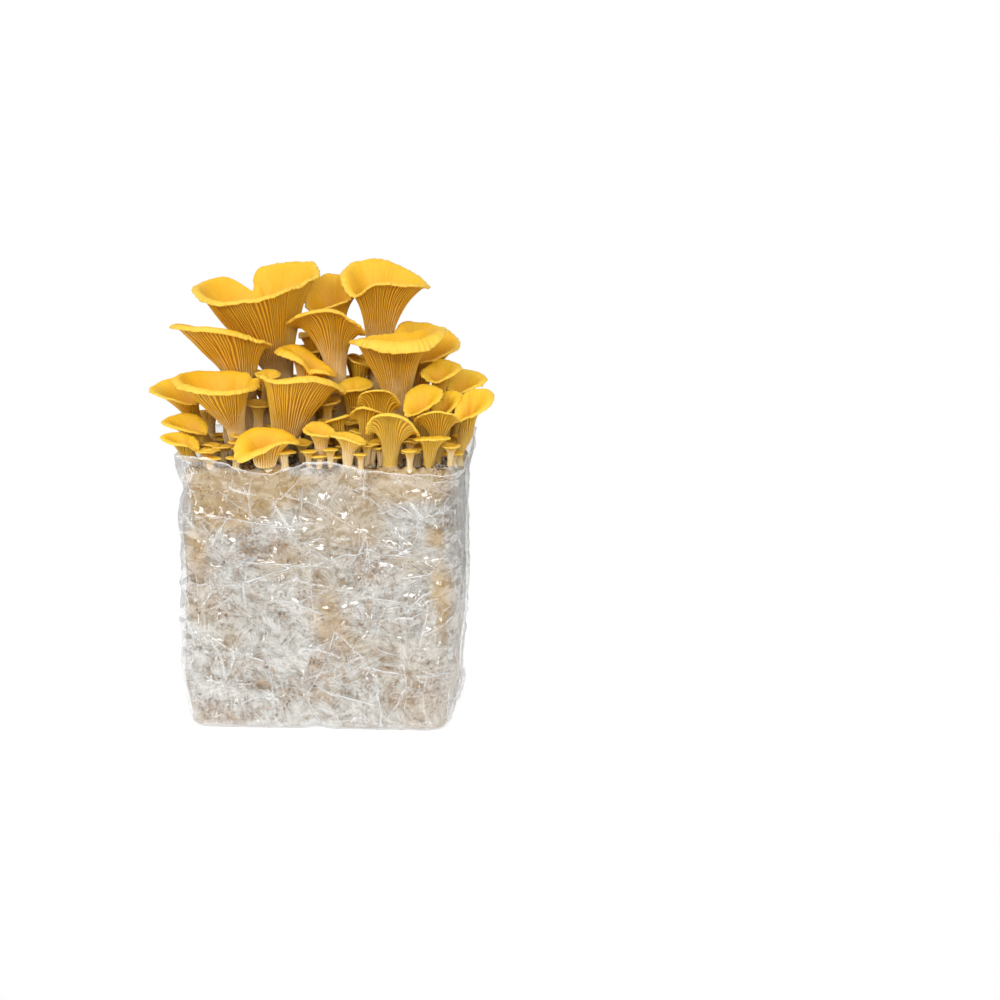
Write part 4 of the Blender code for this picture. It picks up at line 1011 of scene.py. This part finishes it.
YOUNG = dict(
    GOLDEN, stem=(0.90, 0.74, 0.46), stem_groove_shade=(0.76, 0.54, 0.25),
    gill=(0.85, 0.56, 0.10), groove_shade=(0.60, 0.31, 0.035), shoulder=(0.88, 0.57, 0.06),
    upper=(0.90, 0.56, 0.045), foot=(0.88, 0.82, 0.70), lip_share=0.5,
)
LOOKS = {"golden": GOLDEN, "ripe": RIPE, "young": YOUNG}


# How far the threads are bent, then each set's direction, its spots per metre along and
# across the threads, and how wide a thread is as a share of a spot.
WARP = 0.024
SPECKS = ((300, 0.90), (620, 0.86))
THREADS = ((0.3, 34, 300, 0.13), (1.0, 40, 420, 0.12), (1.7, 36, 260, 0.12),
           (2.35, 44, 480, 0.12), (2.9, 30, 340, 0.13))
SUBSTRATE = dict(
    dark_grain=(0.10, 0.05, 0.018), pale_grain=(0.37, 0.22, 0.085), damp=(0.10, 0.05, 0.022),
    stained=(0.40, 0.235, 0.06), white=(0.405, 0.39, 0.355), grey=(0.185, 0.16, 0.12),
    brown=(0.18, 0.135, 0.08), yellow=(0.385, 0.215, 0.022), silk=(0.71, 0.695, 0.65),
    yellow_silk=(0.50, 0.34, 0.11), speck=(0.12, 0.06, 0.025),
    dark_crumb=(0.035, 0.02, 0.012), pale_crumb=(0.17, 0.10, 0.05),
)


def mycelium_material():
    """White mycelium over brown substrate: bare patches, yellow stains, fibres and specks."""
    n, hue = Nodes("mycelium_over_substrate"), SUBSTRATE
    bare, yellow, crumb = n.fields("bare", "yellow", "crumb")
    position = n.position()
    bent = n.bent(position, 26, 2.5, WARP)

    # Sawdust: grains of several browns.
    shade = n.cells(bent, 700, 0)[1]
    dust = n.blend(hue["dark_grain"], hue["pale_grain"], shade, 0.1, 0.9)
    coarse = n.grain(position, 260, 4, 0.75)
    dust = n.blend(dust, hue["damp"], coarse, 0.50, 0.68, 0.8)
    dust = n.mixed(dust, hue["stained"], n.times(yellow, 0.55))

    # Mycelium: thin bright threads that run every way, over a cloudy white mat.
    thread = 0.0
    for turn, along, across, wide in THREADS:
        turned = n.node("VectorRotate", {"Vector": bent, "Angle": turn},
                        rotation_type="Y_AXIS")[0]
        wave = n.grain(n.stretched(turned, (along, along, across)), 1.0, 2, 0.5)
        line = n.span(n.maths("ABSOLUTE", n.maths("SUBTRACT", wave, 0.5)), wide, 0.0)
        here = n.span(n.grain(turned, 60, 2), 0.44, 0.60)
        thread = n.maths("MAXIMUM", n.times(line, here), thread)
    cloud = n.grain(bent, 100, 5, 0.7)
    mat = n.grain(bent, 520, 3, 0.7)
    white = n.blend(hue["white"], hue["grey"], cloud, 0.38, 0.64)
    white = n.blend(white, hue["brown"], mat, 0.44, 0.66, 0.55)
    white = n.blend(white, hue["yellow"], yellow, 0.20, 0.90, 0.92)
    patch = n.plus(bare, n.span(cloud, 0.3, 0.7, -0.36, 0.36),
                   n.span(mat, 0.3, 0.7, -0.30, 0.30), n.span(coarse, 0.3, 0.7, -0.24, 0.24))
    colour = n.blend(white, dust, patch, 0.53, 0.76)
    thread = n.times(thread, n.span(patch, 0.0, 0.95, 0.75, 0.35))
    silk = n.blend(hue["silk"], hue["yellow_silk"], yellow, 0.3, 0.9, 0.7)
    colour = n.mixed(colour, silk, thread)

    # Loose specks of dark substrate in the white.
    for scale, rare in SPECKS:
        distance, chance = n.cells(position, scale, 1)
        chance = n.plus(chance, n.span(patch, 0.1, 0.9, -0.14, 0.20))
        dot = n.times(n.span(distance, 0.42, 0.26), n.span(chance, rare, rare + 0.03))
        colour = n.mixed(colour, hue["speck"], n.times(dot, 0.9))
    dark = n.blend(hue["dark_crumb"], hue["pale_crumb"], coarse, 0.35, 0.65)
    n.look(Base_Color=n.mixed(colour, dark, crumb), Roughness=0.85, Specular_IOR_Level=0.2,
           Normal=n.bump(n.plus(n.times(thread, 0.6), coarse), 0.6, 0.0006))
    return n.material


# The film's small facets: how many per metre, and how they are stretched. Then the width
# of a fold's sharp crest, in millimetres, its height and its whiteness, which is a painted
# highlight along the crest and partly the whitening of creased film.
FACETS = ((52.0, (1.0, 1.0, 1.4)), (130.0, (1.4, 1.4, 0.8)))
CRESTS_AND_HIGHLIGHTS = (("fold", 0.7, 0.35, 0.32), ("line", 0.95, 0.7, 0.8))
FACET_WARP, MOST_GLOSS = 0.010, 0.22


def film_material():
    """Clear film: glossy where it faces the light, with a faint haze, a whiter rim and white crests:
    painted highlights that are partly the whitening of creased film.
    """
    n = Nodes("clear_film")
    position = n.position()
    bent = n.bent(position, 30, 1.0, FACET_WARP)
    facets = [n.node("TexVoronoi", {"Vector": n.stretched(bent, way), "Scale": scale},
                     feature="DISTANCE_TO_EDGE")["Distance"] for scale, way in FACETS]
    height = n.plus(facets[0], n.times(facets[1], 0.07))
    white = 0.0
    patchy = n.span(n.grain(position, 34, 2), 0.40, 0.56)
    # Painted highlights: the crests of the folds and creases turn white, partly the whitening of creased
    # film.
    for title, width, high, pale in CRESTS_AND_HIGHLIGHTS:
        crest = n.times(n.span(n.maths("ABSOLUTE", *n.fields(title)), width, 0.0), patchy)
        height = n.plus(height, n.times(crest, high))
        white = n.maths("MAXIMUM", n.times(crest, pale), white)
    normal = n.bump(height, 0.85, 0.0031)
    clear = n.node("BsdfTransparent", {"Color": (0.97, 0.97, 0.97, 1)})[0]
    gloss = n.node("BsdfGlossy", {"Color": (1, 1, 1, 1), "Roughness": 0.07, "Normal": normal})[0]
    milky_and_highlights = n.node("BsdfDiffuse", {"Color": (0.93, 0.93, 0.92, 1), "Normal": normal})[0]
    cloud = n.grain(position, 45, 3, 0.6, 0.8)
    haze = n.plus(n.span(cloud, 0.35, 0.75, 0.0, 0.05), n.times(*n.fields("rim"), 0.35))
    # The milky diffuse shows the haze, the whiter rim and the painted highlights on the crests.
    body = n.node("MixShader", {0: n.maths("MAXIMUM", haze, white), 1: clear, 2: milky_and_highlights})[0]
    fresnel = n.node("Fresnel", {"IOR": 1.5, "Normal": normal})[0]
    mirrored = n.maths("MINIMUM", n.times(fresnel, 1.6), MOST_GLOSS)
    n.surface(n.node("MixShader", {0: mirrored, 1: body, 2: gloss})[0])
    return n.material


# ------------ studio

VIEW_AZIMUTH, VIEW_ELEVATION = 8.0, 10.0
LENS, SENSOR = 85.0, 36.0
MM_PER_PIXEL, PICTURE = 0.7, 1000
AIM = np.array([0.0, 0.0, 160.0])
AIM_PIXEL = (328.5, 487.0)

FLOOR_REACH, BACKDROP_REACH = 0.5, 6.0
LAMPS_AIM = 0.15
FLOOR_GLOW = 0.48
SKY = 0.59
LAMPS = (
    # name, azimuth, elevation, distance, width, height, power
    ("key", -34, 42, 1.6, 0.8, 0.8, 6.0),
    ("fill", 40, 25, 1.7, 0.5, 0.9, 2.0),
    ("top", 10, 75, 1.5, 0.6, 0.6, 2.2),
    ("bar", -6, 27, 1.6, 1.7, 0.2, 7.5),
    ("strip_left", -34, 12, 1.6, 0.08, 1.2, 2.4),
    ("strip_right", 32, 14, 1.6, 0.08, 1.2, 2.2),
)


def stage_piece(title, material, shape, **sizes):
    """One of bmesh's own shapes, as a part of the stage."""
    mesh, form = bpy.data.meshes.new(title), bmesh.new()
    shape(form, **sizes)
    form.to_mesh(mesh)
    form.free()
    mesh.materials.append(material)
    piece = bpy.data.objects.new(title, mesh)
    bpy.context.scene.collection.objects.link(piece)
    return piece


def studio():
    """A pale floor that glows a little, a white backdrop all round and soft lamps."""
    n = Nodes("pale_floor")
    paper = n.mixed((0.86, 0.86, 0.86), (0.88, 0.88, 0.88), n.grain(n.position(), 40))
    n.look(Base_Color=paper, Roughness=0.9, Emission_Color=(1, 1, 1, 1),
           Emission_Strength=FLOOR_GLOW)
    stage_piece("floor", n.material, bmesh.ops.create_circle,
                cap_ends=True, segments=96, radius=FLOOR_REACH)
    n = Nodes("white_backdrop")
    n.surface(n.node("Emission", {"Color": (1, 1, 1, 1), "Strength": 1.0})[0])
    backdrop = stage_piece("backdrop", n.material, bmesh.ops.create_uvsphere,
                           u_segments=48, v_segments=24, radius=BACKDROP_REACH)
    for ray in ("diffuse", "glossy", "transmission", "shadow"):
        setattr(backdrop, "visible_" + ray, False)

    scene = bpy.context.scene
    scene.world = bpy.data.worlds.new("studio")
    scene.world.use_nodes = True
    sky = scene.world.node_tree.nodes["Background"].inputs
    sky["Color"].default_value = (1, 1, 1, 1)
    sky["Strength"].default_value = SKY
    for title, azimuth, elevation, distance, width, height, power in LAMPS:
        place = Vector(toward(azimuth, elevation))
        light = bpy.data.lights.new(title, "AREA")
        light.shape = "RECTANGLE"
        light.size, light.size_y = width, height
        light.energy = power
        lamp = bpy.data.objects.new(title, light)
        lamp.location = place * distance + Vector((0, 0, LAMPS_AIM))
        lamp.rotation_mode = "QUATERNION"
        lamp.rotation_quaternion = (-place).to_track_quat("-Z", "Y")
        scene.collection.objects.link(lamp)
    scene.view_settings.view_transform = "Standard"
    scene.view_settings.look = "None"


def toward(azimuth, elevation):
    """The direction from the object to a viewer or a lamp, in degrees from the front."""
    turn, lift = np.radians((azimuth, elevation))
    return np.array([np.sin(turn) * np.cos(lift), -np.cos(turn) * np.cos(lift), np.sin(lift)])


def camera():
    """The photograph's view: AIM is seen at AIM_PIXEL, at MM_PER_PIXEL."""
    width = SENSOR / LENS
    back = toward(VIEW_AZIMUTH, VIEW_ELEVATION)
    x = (AIM_PIXEL[0] / PICTURE - 0.5) * width
    y = (0.5 - AIM_PIXEL[1] / PICTURE) * width
    distance = MM_PER_PIXEL * PICTURE / width * np.sqrt(1 + x * x + y * y)
    eye = AIM + back * distance
    forward = -back
    for _ in range(30):
        right = unit(np.cross(forward, UP))
        up = np.cross(right, forward)
        to_aim = AIM - eye
        depth = to_aim @ forward
        forward = unit(forward + right * (to_aim @ right / depth - x)
                       + up * (to_aim @ up / depth - y))
    data = bpy.data.cameras.new("camera")
    data.lens, data.sensor_width = LENS, SENSOR
    data.clip_start, data.clip_end = 0.05, 50
    seen = bpy.data.objects.new("camera", data)
    seen.location = eye * MM
    seen.rotation_mode = "QUATERNION"
    seen.rotation_quaternion = Vector(forward).to_track_quat("-Z", "Y")
    bpy.context.scene.collection.objects.link(seen)
    bpy.context.scene.camera = seen


# ------------ the scene

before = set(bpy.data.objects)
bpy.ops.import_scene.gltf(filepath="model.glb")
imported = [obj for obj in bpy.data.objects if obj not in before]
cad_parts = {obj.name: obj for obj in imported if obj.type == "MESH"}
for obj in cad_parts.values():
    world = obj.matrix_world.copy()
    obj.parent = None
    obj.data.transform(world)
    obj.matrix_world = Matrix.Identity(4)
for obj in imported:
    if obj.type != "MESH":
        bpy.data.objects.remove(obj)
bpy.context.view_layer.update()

flesh = {title: mushroom_material(title + "_flesh", look) for title, look in LOOKS.items()}
for grown in CLUSTER:
    mushroom(grown, flesh[grown["size"]["look"]])
sprouts(flesh["young"])
block(mycelium_material())
film(film_material())
studio()
camera()
